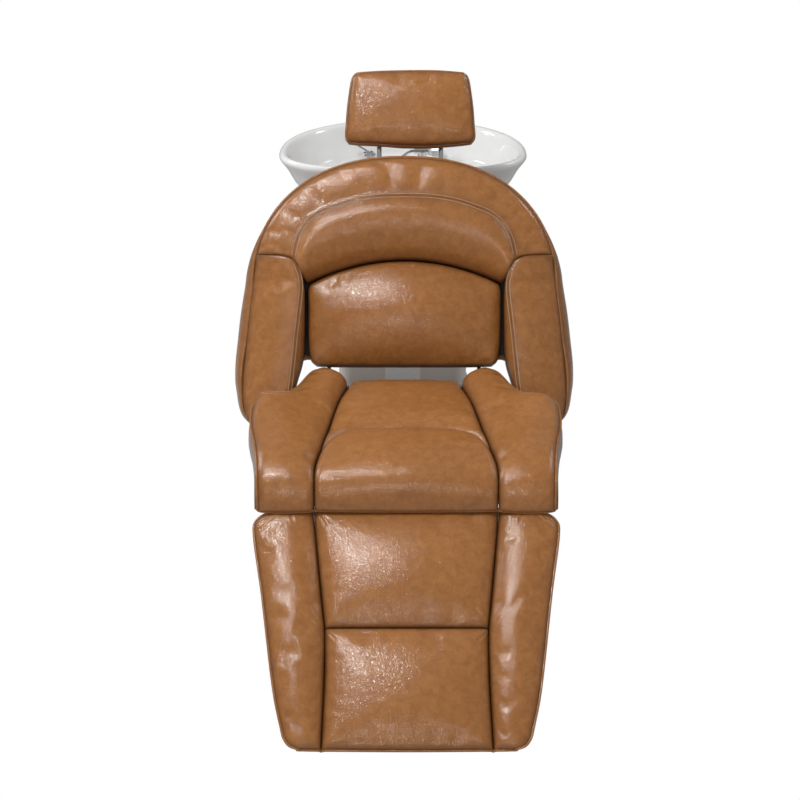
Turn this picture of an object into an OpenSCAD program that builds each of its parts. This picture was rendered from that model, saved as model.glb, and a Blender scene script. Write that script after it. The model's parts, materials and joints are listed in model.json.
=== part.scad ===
// Salon wash unit: a reclining backwash chair with a powered legrest and a tilting ceramic bowl.
// Millimetres, X to the sitter's left as seen from the front, Y from the feet to the bowl, Z up.
// The origin is on the floor, under the middle of the whole unit.

/* [Seat] */
// Height of the seat's middle above the floor
seat_top = 465; // [445:1:485]
// Thickness of the seat cushion
seat_thick = 70; // [60:1:80]
// Depth of the seat, front edge to rear edge
seat_depth = 464; // [450:1:475]
// Width of the seat over its piping
seat_width = 600; // [580:2:620]
// How far the ears of the seat reach out past the piping at the front
ear_flare = 24; // [10:1:30]
// Width of the seat's middle panel at the front
panel_front = 372; // [350:2:390]
// Width of the seat's middle panel at its narrow rear
panel_rear = 248; // [236:2:260]
// Height of the outer edge of the side bolsters above the seat
bolster_rise = 22; // [10:1:32]
// Thickness of the plywood under the cushions
board_thick = 12; // [9:1:15]
/* [Back] */
// Angle of the backrest from the floor at rest
back_angle = 62; // [60:1:64]
// Length of the backrest from its hinge to the top of the arch
back_height = 527; // [510:1:540]
// Half width of the backrest at the shoulder, where the arch begins
shoulder_half = 342; // [330:1:350]
// Half width of the backrest at the hips
hip_half = 368; // [358:1:372]
// Distance along the back from the hinge up to the shoulder
shoulder_rise = 228; // [215:1:240]
// How far the wings hang below the hinge
wing_drop = 77; // [60:1:85]
// Half width of the lumbar cushion
lumbar_half = 216; // [205:1:220]
// Distance from the hinge up to the lumbar cushion
lumbar_low = 55; // [52:1:62]
// Distance from the hinge up to the top of the lumbar cushion
lumbar_high = 292; // [280:1:300]
// Height of the piping in front of the hinge's plane
piping_off = 60; // [54:1:66]
// Height of the wing pads in front of the hinge's plane
wing_off = 96; // [88:1:100]
// Depth of the upholstered shell behind the hinge's plane
shell_deep = 52; // [50:1:60]
// How far the shell bulges past the piping at the sides
shell_bulge = 20; // [10:1:26]
// Wall of the back shell
shell_wall = 6; // [5:0.5:8]
/* [Headrest] */
// Width of the head cushion at its lower edge
head_width = 288; // [270:2:300]
// Height of the head cushion
head_height = 168; // [160:1:185]
// Thickness of the head cushion
head_thick = 50; // [40:1:55]
// Gap between the backrest and the head cushion
head_gap = 36; // [24:1:44]
// Diameter of the chrome posts
post_dia = 12; // [10:0.5:14]
// Distance between the posts
post_spacing = 142; // [120:2:160]
// How far the headrest stands to the right of the middle
head_shift = 14; // [0:1:20]
/* [Legrest] */
// Slope of the legrest below level at its lowest stop
leg_slope = 38; // [34:1:38]
// Length of the legrest from its hinge to its end
leg_length = 482; // [460:1:484]
// Half width of the legrest at its top
leg_half_top = 306; // [296:1:312]
// Half width of the legrest at its end
leg_half_end = 237; // [225:1:250]
// Thickness of the leg pads
leg_thick = 58; // [50:1:62]
// Distance from the hinge down to the seam between the two leg pads
leg_seam = 240; // [220:1:260]
/* [Bowl] */
// Height of the bowl's rim above the floor
rim_height = 768; // [755:1:785]
// Width of the bowl over its rim
bowl_width = 610; // [590:2:630]
// Reach of the rim in front of the bowl's widest line
bowl_front = 142; // [135:1:150]
// Reach of the rim behind the bowl's widest line
bowl_rear = 250; // [240:1:260]
// Depth of the bowl from the rim to its foot
bowl_deep = 183; // [178:1:190]
// Width of the rolled rim
rim_wall = 20; // [16:1:24]
// Distance from the seat's rear edge to the bowl's widest line
bowl_behind = 625; // [615:1:640]
// Radius of the neck notch in the front rim
notch_radius = 110; // [100:1:115]
// Diameter of the drain hole
drain_dia = 50; // [46:1:54]
/* [Base] */
// Width of the floor plate
plate_width = 460; // [440:5:480]
// Thickness of the floor plate
plate_thick = 8; // [6:1:10]
// Height of the floor plate's underside above the floor
foot_height = 18; // [16:1:22]
// Width of the rear column
column_width = 320; // [310:2:330]
// Depth of the rear column
column_deep = 370; // [360:2:380]
// Width of the pedestal under the seat
pedestal_width = 300; // [290:2:310]
// Depth of the pedestal under the seat
pedestal_deep = 300; // [290:2:310]
// Sheet thickness of the covers
cover_wall = 3; // [2:0.5:4]
// Diameter of the floor anchor holes
anchor_dia = 12; // [10:1:14]
// Distance between the anchor holes across the unit
anchor_across = 400; // [380:5:410]
// Distance between the anchor holes along the unit
anchor_along = 1080; // [1060:10:1100]
/* [Moving parts] */
// Diameter of the backrest's hinge pins
back_pin_dia = 16; // [12:1:18]
// Diameter of the legrest's hinge pins
leg_pin_dia = 10; // [8:1:12]
// Width of a slide rail
rail_width = 20; // [16:1:24]
// Height of a slide rail
rail_high = 16; // [14:1:18]
// Distance of each slide rail from the middle
rail_off = 90; // [86:1:96]
// Running clearance of the pins
fit = 0.1; // [0.05:0.01:0.1]

/* [Hidden] */
$fn = 48;
// Clearance of soft pieces to what they sit on
soft_gap = 0.3;
// Running clearance of the slides
slide_gap = 0.3;
// Gap between two pads at a seam
seam_gap = 0.5;

// Seat, measured from its middle
seat_rear = 250;
seat_front = seat_rear - seat_depth;
ear_rear = seat_rear + 35;
seat_half = seat_width / 2;
seat_low = seat_top - seat_thick;
seat_board_low = seat_low - board_thick;
carriage_tube = 30;
carriage_low = seat_board_low - carriage_tube;
runner_tube = 48;
runner_low = carriage_low - runner_tube;
block_high = 20;
block_lift = 4;
rail_low = runner_low - block_high - block_lift - 6;
pedestal_top = rail_low;

// Backrest hinge, and the frame that lies in the backrest's plane
hinge_y = seat_rear + 67;
hinge_z = seat_top - 81;
board_off = -board_thick;
frame_tube = 25;
arm_x = 172;
arm_thick = 8;

// Legrest hinge
leg_hinge_y = seat_front + 7;
leg_hinge_z = seat_low - 31;
leg_top_off = 23.8;
leg_low_off = leg_top_off - leg_thick;
leg_lug_x = 143;
leg_lug_thick = 8;
leg_end = -leg_length;

// Bowl and column, measured from the seat's middle
bowl_y = seat_rear + bowl_behind;
bowl_half = bowl_width / 2;
foot_z = rim_height - bowl_deep;
deck_z = rim_height - 82;
tilt_y = bowl_y + 5;
tilt_z = foot_z - 30;
column_top = foot_z - 45;
drain_y = bowl_y - 15;
column_front = bowl_y - column_deep / 2;
column_rear = column_front + column_deep;
column_half = column_width / 2;
plate_top = foot_height + plate_thick;
pedestal_y = 30;
pedestal_front = pedestal_y - pedestal_deep / 2;
plate_front = pedestal_front - 10;
plate_rear = column_rear + 8;
plate_len = plate_rear - plate_front;
plate_mid = (plate_front + plate_rear) / 2;
rear_most = bowl_y + bowl_rear;
front_most = leg_hinge_y - leg_length * cos(leg_slope) - leg_top_off * sin(leg_slope) - 2;
mid_y = (front_most + rear_most) / 2;

// Frames in which the pieces are drawn
module at_middle() translate([0, -mid_y, 0]) children();
module on_back() at_middle() translate([0, hinge_y, hinge_z]) rotate([back_angle, 0, 0]) children();
module on_leg() at_middle() translate([0, leg_hinge_y, leg_hinge_z]) rotate([leg_slope, 0, 0]) children();
module both() { children(); mirror([1, 0, 0]) children(); }

// Rounded rectangle, true arcs, centred
module rounded(w, d, r) {
  square([w - 2 * r, d], center = true);
  square([w, d - 2 * r], center = true);
  for (x = [-1, 1], y = [-1, 1]) translate([x * (w / 2 - r), y * (d / 2 - r)]) circle(r);
}
// Square tube along Y from the origin, standing on its underside
module tube_y(w, h, len, wall = 2.5) {
  translate([-w / 2, 0, 0]) difference() {
    cube([w, len, h]);
    translate([wall, -1, wall]) cube([w - 2 * wall, len + 2, h - 2 * wall]);
  }
}
// Square tube along X, centred on X
module tube_x(w, h, len, wall = 2.5) rotate([0, 0, 90]) translate([0, -len / 2, 0]) tube_y(w, h, len, wall);
// Cylinder along X, centred on X
module axle(r, len) rotate([0, 90, 0]) cylinder(r = r, h = len, center = true);

// Solid through rings of points, each ring anticlockwise as seen along the row
function middle(ring) = [for (k = [0:2]) [for (p = ring) 1] * [for (p = ring) p[k]] / len(ring)];
function walls(m, n, rows) = [for (i = [0:rows - 1], j = [0:n - 1])
  let (a = i * n + j, b = i * n + (j + 1) % n, c = ((i + 1) % m) * n + (j + 1) % n, d = ((i +
    1) % m) * n + j)
  each [[a, b, c], [a, c, d]]];
module loft(rings) {
  m = len(rings);
  n = len(rings[0]);
  points = concat([for (r = rings) each r], [middle(rings[0]), middle(rings[m - 1])]);
  caps = [for (j = [0:n - 1]) each
    [[m * n, (j + 1) % n, j], [m * n + 1, (m - 1) * n + j, (m - 1) * n + (j + 1) % n]]];
  polyhedron(points, concat(walls(m, n, m - 1), caps));
}
module loft_loop(rings) {
  m = len(rings);
  polyhedron([for (r = rings) each r], walls(m, len(rings[0]), m));
}
// Pad lying on a board: rows along y, a top of height high(x, y), drawn in at its foot
function pad_ring(y, l, r, low, high, tuck, n) = let (edge = (low + high(r, y)) / 2) concat(
  [[l + tuck, y, low], [r - tuck, y, low], [r, y, edge]],
  [for (k = [0:n]) let (x = r - 4 - (r - l - 8) * k / n) [x, y, high(x, y)]],
  [[l, y, (low + high(l, y)) / 2]]);
// Smooth hump, 0 at both ends and 1 in the middle, flat-topped
function hump(u) = let (v = max(0, min(1, u))) pow(sin(180 * v), 0.6);
function backwards(list) = [for (k = [len(list) - 1:-1:0]) list[k]];
function clamp01(u) = max(0, min(1, u));
function ease(u) = let (v = clamp01(u)) v * v * (3 - 2 * v);

// Base

// Bolted steel plate that carries the pedestal and the column
module floor_plate() color("dimgray") at_middle() translate([0, plate_mid, foot_height]) difference() {
  linear_extrude(plate_thick) rounded(plate_width, plate_len, 25);
  for (x = [-1, 1], y = [-1, 1]) translate([x * anchor_across / 2, y * anchor_along / 2, -1])
    cylinder(d = anchor_dia, h = plate_thick + 2);
  for (x = [-1, 1], y = feet_rows) translate([x * feet_x, y, -1])
    cylinder(d = stud_dia, h = plate_thick + 2);
  translate([0, outlet_y - plate_mid, -1]) cylinder(d = outlet_dia + 8, h = plate_thick + 2);
  for (x = [-1, 1]) translate([x * valve_x, valve_y - plate_mid, -1]) cylinder(d = 34, h = plate_thick + 2);
}
feet_x = plate_width / 2 - 28;
feet_rows = [-plate_len / 2 + 90, 0, plate_len / 2 - 90];
stud_dia = 10;
outlet_y = bowl_y + 60;
outlet_dia = 40;
outlet_long = 56;

module levelling_feet() color("black") at_middle()
  for (x = [-1, 1], y = feet_rows) translate([x * feet_x, plate_mid + y, 0]) {
    cylinder(d = 44, h = 8);
    cylinder(d = stud_dia, h = plate_top + 8);
    translate([0, 0, foot_height - 6]) cylinder(d = 17, h = 6, $fn = 6);
  }

// Welded box under the seat, with a foot flange and a top plate for the rails
module pedestal_frame() color("dimgray") at_middle() translate([0, pedestal_y, plate_top]) {
  high = pedestal_top - plate_top;
  difference() {
    union() {
      linear_extrude(8) rounded(pedestal_width - 16, pedestal_deep - 16, 12);
      linear_extrude(high) rounded(pedestal_width - 60, pedestal_deep - 60, 12);
      translate([0, 0, high - 8]) linear_extrude(8) rounded(pedestal_width - 20, pedestal_deep - 12, 12);
    }
    translate([0, 0, -1]) linear_extrude(high - 7) rounded(pedestal_width - 68, pedestal_deep - 68, 8);
    for (x = [-1, 1], y = [-1, 1])
      translate([x * (pedestal_width / 2 - 19), y * (pedestal_deep / 2 - 19), -1]) cylinder(d = 9, h = 12);
  }
}
module pedestal_cover() color("gray") at_middle() translate([0, pedestal_y, plate_top]) {
  high = pedestal_top - plate_top - 10;
  difference() {
    linear_extrude(high) rounded(pedestal_width, pedestal_deep, 30);
    translate([0, 0, -1]) linear_extrude(high + 2)
      rounded(pedestal_width - 2 * cover_wall, pedestal_deep - 2 * cover_wall, 30 - cover_wall);
  }
}
// Two steel rails on the pedestal's top
rail_len = pedestal_deep - 16;
module slide_rails() color("silver") at_middle() both()
  translate([rail_off, pedestal_y, rail_low]) difference() {
    translate([-rail_width / 2, -rail_len / 2, 0]) cube([rail_width, rail_len, rail_high]);
    for (s = [-1, 1]) translate([s * (rail_width / 2 + 2.5), 0, rail_high / 2]) rotate([90, 0, 0])
      cylinder(d = 9, h = rail_len + 2, center = true);
  }
// Motor tube that is clamped between the rails
motor_x = 36;
motor_r = 15;
motor_z = pedestal_top + 8 + motor_r;
motor_rear = 105;
motor_len = 205;
rod_r = 7;
seat_travel = 90;
rod_reach = 205;
module seat_motor() color("dimgray") at_middle() {
  translate([motor_x, motor_rear, motor_z]) rotate([90, 0, 0]) difference() {
    cylinder(r = motor_r, h = motor_len);
    translate([0, 0, -1]) cylinder(r = rod_r + fit, h = seat_travel + 30);
  }
  for (y = [motor_rear - 40, motor_rear - motor_len + 15]) translate([motor_x, y,
    pedestal_top]) difference() {
    translate([-motor_r - 4, 0, 0]) cube([2 * motor_r + 8, 20, motor_z - pedestal_top]);
    translate([0, -1, motor_z - pedestal_top]) rotate([-90, 0, 0]) cylinder(r = motor_r, h = 22);
  }
}

// Column frame: two posts, a foot plate and a top plate, and arms for the back links
post_w = 50;
post_x = column_half - 50;
top_plate_z = column_top - 70;
link_pivot_y = hinge_y + 338;
link_pivot_z = hinge_z + 56;
link_x = 100;
link_pin_r = 5;
strap_z = 110;
module column_frame() color("dimgray") at_middle() {
  translate([0, tilt_y, plate_top]) linear_extrude(8) difference() {
    rounded(column_width - 20, 200, 12);
    translate([0, outlet_y - tilt_y]) circle(d = outlet_dia + 8);
  }
  both() {
    translate([post_x - post_w / 2, tilt_y - post_w / 2, plate_top + 8]) difference() {
      cube([post_w, post_w, top_plate_z - plate_top - 8]);
      translate([3, 3, -1]) cube([post_w - 6, post_w - 6, top_plate_z - plate_top - 6]);
    }
    difference() {
      union() {
        translate([link_x - 4, link_pivot_y, link_pivot_z - 14]) cube([8, tilt_y - link_pivot_y, 28]);
        translate([link_x, link_pivot_y, link_pivot_z]) axle(14, 8);
      }
      translate([link_x, link_pivot_y, link_pivot_z]) axle(link_pin_r + fit, 12);
    }
  }
  // cross strap that holds the waste pipe
  translate([-post_x, tilt_y + post_w / 2, strap_z]) cube([2 * post_x, 6, 30]);
  translate([0, tilt_y, top_plate_z]) linear_extrude(8) difference() {
    rounded(column_width - 30, 190, 12);
    rounded(110, 110, 10);
  }
}
// Painted sheet cover of the column, open below and cut out for the bowl's yoke, the door and the inlet
door_w = 220;
door_low = 130;
door_high = column_top - 70;
door_x = 112;
inlet_x = 90;
inlet_z = 82;
inlet_w = 50;
inlet_h = 28;
module column_cover() color("gray") at_middle() difference() {
  union() {
    translate([0, (column_front + column_rear) / 2, plate_top]) linear_extrude(column_top - plate_top)
      difference() {
        rounded(column_width, column_deep, 30);
        rounded(column_width - 2 * cover_wall, column_deep - 2 * cover_wall, 30 - cover_wall);
      }
    translate([0, (column_front + column_rear) / 2, column_top - cover_wall]) linear_extrude(cover_wall)
      rounded(column_width - 2, column_deep - 2, 29);
    for (z = [door_low + 40, door_high - 60]) translate([-door_x - 2, column_rear - cover_wall,
      z]) difference() {
      translate([-14, 0, 0]) cube([18, 12, 8]);
      translate([-1, 8, -1]) cylinder(r = door_pin_r + fit, h = 10);
    }
  }
  translate([-door_w / 2, column_rear - 10, door_low]) cube([door_w, 9.99, door_high - door_low]);
  translate([-100, column_front + 60, column_top - 10]) cube([200, deck_y + 11 - column_front - 60, 20]);
  translate([inlet_x - inlet_w / 2 + 4, column_rear - 10, inlet_z + 4])
    cube([inlet_w - 8, 20, inlet_h - 8]);
  both() translate([link_x - 6, column_front - 5, link_pivot_z - 16]) cube([12, 15, 32]);
  translate([column_half - 8, panel_y - 34, panel_z - 24]) cube([16, 68, 48]);
}
door_pin_r = 3;
// Brushed plate on the front of the column
module column_front_plate() color("silver") at_middle()
  translate([0, column_front, plate_top + 20]) rotate([90, 0, 0]) linear_extrude(4)
    translate([0, (top_plate_z - plate_top - 60) / 2]) rounded(88, top_plate_z - plate_top - 60, 8);

// Fork on the column's top that carries the bowl's pivot
yoke_x = 82;
yoke_thick = 8;
tilt_pin_r = 7;
module bowl_yoke() color("dimgray") at_middle() {
  translate([0, tilt_y, top_plate_z + 8]) linear_extrude(6) difference() {
    rounded(2 * yoke_x + 40, 120, 10);
    rounded(110, 90, 10);
  }
  both() difference() {
    union() {
      translate([yoke_x - yoke_thick / 2, tilt_y - 30, top_plate_z + 8])
        cube([yoke_thick, 60, tilt_z - top_plate_z - 20]);
      translate([yoke_x, tilt_y, tilt_z]) axle(16, yoke_thick);
      translate([yoke_x - yoke_thick / 2, tilt_y - 16, tilt_z - 20]) cube([yoke_thick, 32, 20]);
    }
    translate([yoke_x, tilt_y, tilt_z]) axle(tilt_pin_r, yoke_thick + 4);
  }
}
// Switch panel on the side of the column
panel_y = column_front + 150;
panel_z = column_top - 100;
rocker_w = 22;
rocker_r = 15;
rocker_gap = 16;
module control_panel() color("black") at_middle() translate([column_half, panel_y, panel_z])
  rotate([0, 90, 0])
  difference() {
    union() {
      linear_extrude(4) rounded(64, 90, 8);
      translate([0, 0, -7]) linear_extrude(8) rounded(46, 66, 4);
    }
    for (s = [-1, 1]) translate([-rocker_r - 0.6, s * rocker_gap - rocker_w / 2 - 0.4, -8])
      cube([2 * rocker_r + 1.2, rocker_w + 0.8, 20]);
  }
// Barrel rocker, drawn about its own pivot
module rocker(side) at_middle() translate([column_half + 1, panel_y + side * rocker_gap, panel_z]) {
  intersection() {
    rotate([90, 0, 0]) cylinder(r = rocker_r, h = rocker_w, center = true);
    union() {
      rotate([0, 8, 0]) translate([-6, -rocker_w / 2, 0]) cube([13, rocker_w, rocker_r]);
      rotate([0, -8, 0]) translate([-6, -rocker_w / 2, -rocker_r]) cube([13, rocker_w, rocker_r]);
    }
  }
  rotate([90, 0, 0]) cylinder(r = 1.5, h = rocker_w + 0.8, center = true);
}
module legrest_rocker() color("whitesmoke") rocker(-1);
module recline_rocker() color("whitesmoke") rocker(1);
// Mains supply and drive electronics on the left post
module control_box() color("black") at_middle()
  translate([-post_x + post_w / 2, tilt_y - 60, 180]) difference() {
    cube([50, 120, 160]);
    translate([3, 3, 3]) cube([44, 114, 154]);
  }
module power_inlet() color("black") at_middle() translate([inlet_x, column_rear, inlet_z +
  inlet_h / 2]) rotate([-90, 0, 0])
  {
    difference() {
      union() {
        translate([0, 0, -20]) linear_extrude(20) rounded(inlet_w - 9, inlet_h - 9, 3);
        linear_extrude(3) rounded(inlet_w, inlet_h, 4);
      }
      translate([0, 0, -14]) linear_extrude(20) rounded(inlet_w - 16, inlet_h - 14, 2);
    }
    for (x = [-8, 0, 8]) translate([x - 1, -3, -16]) cube([2, 5, 12]);
  }
// Hot and cold stop valves with half-inch stubs that face the rear wall
valve_x = 45;
valve_y = bowl_y + 130;
valve_z = 170;
stub_r = 10.5;
module water_valves() color("silver") at_middle() {
  both() translate([valve_x, valve_y, valve_z]) {
    cylinder(r = 14, h = 36);
    translate([0, 0, 36]) cylinder(r = 8, h = 12);
    rotate([90, 0, 0]) translate([0, -14, 10]) cylinder(r = 11, h = 22);
    translate([0, 0, -plate_bracket]) cylinder(r = stub_r, h = stub_long);
    translate([0, 0, -plate_bracket]) cylinder(r = stub_r - 1, h = plate_bracket);
  }
  translate([-valve_x - 20, valve_y - 16, valve_z - plate_bracket + 16]) difference() {
    cube([2 * valve_x + 40, 32, 4]);
    for (x = [20, 2 * valve_x + 20]) translate([x, 16, -1]) cylinder(r = stub_r - 1, h = 6);
  }
  translate([-2, valve_y - 16, plate_top]) cube([4, 32, valve_z - plate_bracket + 16 - plate_top]);
}
plate_bracket = 40;
stub_long = 12;
// Bottle trap under the drain, with its outlet through the floor plate
trap_z = foot_z - 285;
trap_top = foot_z - 155;
module drain_trap() color("whitesmoke") at_middle() {
  difference() {
    union() {
      translate([0, drain_y, trap_z]) cylinder(r = 34, h = 90);
      translate([0, drain_y, trap_z + 90]) cylinder(r = 20, h = trap_top - trap_z - 90);
      translate([0, outlet_y, trap_z + 60]) rotate([90, 0, 0]) cylinder(r = 20, h = outlet_y - drain_y);
      translate([0, outlet_y, 0.5]) cylinder(d = outlet_dia, h = outlet_long);
      translate([0, outlet_y, 1]) cylinder(d = outlet_dia - 3, h = trap_z + 59);
      translate([0, outlet_y, trap_z + 60]) sphere(r = 20);
    }
    translate([0, drain_y, trap_z + 4]) cylinder(r = 16, h = trap_top - trap_z);
    translate([0, outlet_y, 0]) cylinder(d = outlet_dia - 7, h = trap_z + 60);
  }
  translate([-12, tilt_y + post_w / 2 + 6, strap_z + 5]) cube([24, outlet_y - tilt_y - post_w / 2 - 23,
    20]);
}
module cover_screws() color("silver") at_middle() {
  for (x = [-1, 1], z = [70, 220]) {
    translate([x * column_half, column_front + 50, z]) rotate([0, x * 90, 0]) cylinder(r = 5, h = 2.5);
    translate([x * pedestal_width / 2, pedestal_y + 60, z - 20]) rotate([0, x * 90, 0])
      cylinder(r = 5, h = 2.5);
    translate([x * pedestal_width / 2, pedestal_y - 60, z - 20]) rotate([0, x * 90, 0])
      cylinder(r = 5, h = 2.5);
  }
}
module service_door() color("gray") at_middle() {
  difference() {
    translate([-door_w / 2 - 5, column_rear + 0.3, door_low - 8])
      cube([door_w + 10, 2.5, door_high - door_low + 16]);
    translate([door_w / 2 - 20, column_rear - 5, (door_low + door_high) / 2])
      rotate([-90, 0, 0]) cylinder(r = 12, h = 20);
    for (z = [door_low + 40, door_high - 60]) translate([-door_x - 20, column_rear - 1, z - 0.5])
      cube([26, 8, 9]);
  }
  for (z = [door_low + 40, door_high - 60]) {
    translate([-door_x - 3, column_rear + 5, z - 14]) cylinder(r = door_pin_r, h = 30);
    translate([-door_x - 6, column_rear + 2.8, z - 14]) cube([6, 2.2, 13]);
    translate([-door_x - 6, column_rear + 2.8, z + 9]) cube([6, 2.2, 7]);
  }
}

// Seat

side_x = 172;
cross_rows = [-100, 80, 215];
module seat_carriage() color("dimgray") at_middle() {
  both() {
    translate([side_x, seat_front + 64, carriage_low]) tube_y(carriage_tube, carriage_tube,
      seat_depth - 69);
    translate([rail_off, -130, runner_low]) tube_y(34, runner_tube, 320);
    // hinge plates of the backrest
    for (x = [arm_x - arm_thick - 1.5, arm_x + arm_thick + 1.5]) difference() {
      translate([x, 0, 0]) rotate([90, 0, 90]) linear_extrude(arm_thick, center = true) union() {
        translate([hinge_y, hinge_z]) circle(18);
        polygon([[200, carriage_low], [hinge_y, hinge_z - 18], [hinge_y, hinge_z + 18],
          [235, seat_board_low - 1], [200, seat_board_low - 1]]);
      }
      translate([x, hinge_y, hinge_z]) axle(back_pin_dia / 2, 30);
    }
    // hinge plates of the legrest
    for (x = [leg_lug_x - leg_lug_thick - 0.5, leg_lug_x + leg_lug_thick + 0.5]) difference() {
      translate([x, 0, 0]) rotate([90, 0, 90]) linear_extrude(6, center = true) union() {
        translate([leg_hinge_y, leg_hinge_z]) circle(10);
        polygon([[leg_hinge_y, leg_hinge_z - 10], [cross_rows[0], carriage_low + 4],
          [cross_rows[0], seat_board_low - 2], [leg_hinge_y, leg_hinge_z + 10]]);
      }
      translate([x, leg_hinge_y, leg_hinge_z]) axle(leg_pin_dia / 2, 20);
    }
  }
  for (y = cross_rows) translate([0, y + carriage_tube / 2, carriage_low])
    tube_x(carriage_tube, carriage_tube, 2 * side_x - carriage_tube);
  // bracket of the seat motor's rod and ears of the leg motor
  translate([motor_x - 14, rod_reach, motor_z - 12]) difference() {
    cube([28, cross_rows[2] - rod_reach + 2, carriage_low - motor_z + 14]);
    translate([14, -1, 12]) rotate([-90, 0, 0]) cylinder(r = 5, h = 20);
  }
  for (s = [-1, 1]) translate([leg_motor_x + s * 24, leg_motor_y, leg_motor_z]) difference() {
    union() {
      axle(12, 6);
      translate([-3, -12, 0]) cube([6, 46, 12]);
      translate([-3, 18, 0]) cube([6, 16, carriage_low - leg_motor_z + 2]);
    }
    axle(leg_motor_pin, 10);
  }
}
leg_motor_x = -20;
leg_motor_y = leg_hinge_y + 257;
leg_motor_z = leg_hinge_z - 44;
leg_motor_pin = 5;
// Four blocks that run on the rails
module runner_blocks() color("silver") at_middle() both() for (y = [-70, 130])
  translate([rail_off, y, rail_low]) difference() {
    translate([-rail_width / 2 - 10, -30, block_lift]) cube([rail_width + 20, 60,
      runner_low - rail_low - block_lift]);
    translate([-rail_width / 2 - slide_gap, -31, block_lift - 1])
      cube([rail_width + 2 * slide_gap, 62, rail_high - block_lift + 1 + slide_gap]);
  }
// Plan outline of the seat: half widths from the front edge to the tips of the ears
seam_line = [[seat_front - 12, panel_front / 2], [-164, panel_front / 2 - 1], [-35, 167], [115, 146],
  [seat_rear - 26, panel_rear / 2], [seat_rear, panel_rear / 2 - 2], [ear_rear - 6, 150], [ear_rear, 160]];
ear_line = [[seat_front - 12, seat_half], [-120, seat_half + ear_flare / 2], [-45, seat_half +
  ear_flare - 2],
  [-10, seat_half + ear_flare], [22, seat_half + ear_flare - 4], [48, seat_half + 8], [66, seat_half - 16],
  [88, 260], [104, 249], [122, 239], [150, 229], [185, 219], [220, 213], [seat_rear + 5, 207],
    [ear_rear - 6, 198],
  [ear_rear, 188]];
// Depth of the sewn channel and of the rounded front
function seat_roll(y) = -40 * pow(clamp01((seat_front + 34 - y) / 46), 2.2);
function seat_channel(x, y) = let (d = y + 14 + 0.0016 * x * x) -9 * exp(-d * d / 160);
function seat_mid_top(x, y) = let (h = lookup(y, seam_line)) seat_top - 10 + 10 * hump((x + h) / (2 * h))
  + seat_channel(x, y) + (y < -14 ? 5 : 1) * hump((x + h) / (2 * h)) + seat_roll(y)
  - 10 * pow(clamp01((y - seat_rear + 20) / 20), 2);
function bolster_top(x, y) = let (a = lookup(y, seam_line), b = lookup(y, ear_line), u = (x - a) / (b - a))
  seat_top - 10 + (bolster_rise + 10) * ease(u * 1.1) + 9 * hump(u) + seat_roll(y)
  - 12 * pow(clamp01((y - seat_rear) / (ear_rear - seat_rear)), 2);
seat_rows = [seat_front - 9, seat_front - 4, seat_front + 8, seat_front + 34, -130, -70, -32, -14, 4, 60,
  130,
  190, seat_rear - 20, seat_rear - 6, seat_rear];
bolster_rows = [seat_front - 9, seat_front - 4, seat_front + 8, seat_front + 34, -120, -45, -10, 22, 48,
  66, 88, 122,
  150, 185, 220, seat_rear, ear_rear - 22, ear_rear - 6, ear_rear];
module seat_cushion() color("peru") at_middle() loft([for (y = seat_rows) let (h = lookup(y,
  seam_line) - seam_gap / 2)
  pad_ring(y, -h, h, seat_low + soft_gap, function(x, y) seat_mid_top(x, y), 3, 12)]);
module right_form() loft([for (y = bolster_rows)
  let (l = lookup(y, seam_line) + seam_gap / 2, r = lookup(y, ear_line))
  pad_ring(y, l, r, seat_low + soft_gap, function(x, y) bolster_top(x, y), 3, 9)]);
module right_seat_bolster() color("peru") at_middle() right_form();
module left_seat_bolster() color("peru") at_middle() mirror([1, 0, 0]) right_form();
module seat_board() color("burlywood") at_middle() translate([0, 0, seat_board_low])
  linear_extrude(board_thick)
  polygon(concat([[seat_half - 14, seat_front + 24], [seat_half, -60], [seat_half, 20], [seat_half - 24,
    50], [235, 84],
    [190, 140], [160, 225]], [[-160, 225], [-190, 140], [-235, 84], [-seat_half + 24, 50], [-seat_half, 20],
    [-seat_half, -60], [-seat_half + 14, seat_front + 24]]));
module seat_motor_rod() color("silver") at_middle() translate([motor_x, rod_reach, motor_z])
  rotate([90, 0, 0]) {
  cylinder(r = rod_r, h = seat_travel + 30);
  translate([0, 0, -8]) cylinder(r = 5, h = 9);
}
module back_hinge_pins() color("silver") at_middle() both() translate([arm_x, hinge_y, hinge_z])
  axle(back_pin_dia / 2, 3 * arm_thick + 5);
module leg_hinge_pins() color("silver") at_middle() both() translate([leg_lug_x, leg_hinge_y, leg_hinge_z])
  axle(leg_pin_dia / 2, leg_lug_thick + 15);

// Backrest, in its own plane: y up the slope, z towards the sitter

// Arch of the backrest, half outline from the notch's middle to the top's middle
arch_power = 2 / 2.25;
function arch(a) = [shoulder_half * pow(cos(a), arch_power),
  shoulder_rise + (back_height - shoulder_rise) * pow(sin(a), arch_power)];
wing_in = 246;
wing_r = 48;
inner_r = 38;
notch_r = 18;
notch_top = lumbar_low + 6;
half_outline = concat(
  [[0, notch_top], [100, notch_top], [wing_in - 6 - notch_r, notch_top]],
  [for (a = [60, 30, 0]) [wing_in - 6 - notch_r + notch_r * cos(a), notch_top - notch_r +
    notch_r * sin(a)]],
  [[wing_in - 2, -20]],
  [for (a = [180:30:270]) [wing_in + inner_r + inner_r * cos(a), -wing_drop + inner_r + inner_r * sin(a)]],
  [for (a = [270:22.5:360]) [hip_half - 4 - wing_r + wing_r * cos(a), -wing_drop + wing_r +
    wing_r * sin(a)]],
  [[hip_half - 1, 20], [hip_half - 12, 115], [(shoulder_half + hip_half) / 2 - 6, 175]],
  [for (a = [0, 6, 14, 24, 34, 44, 54, 63, 72, 80, 86]) arch(a)], [[0, back_height]]);
outline = concat(half_outline, [for (i = [len(half_outline) - 2:-1:1]) [-half_outline[i][0],
  half_outline[i][1]]]);
outline_n = len(outline);
function unit(v) = v / norm(v);
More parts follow.
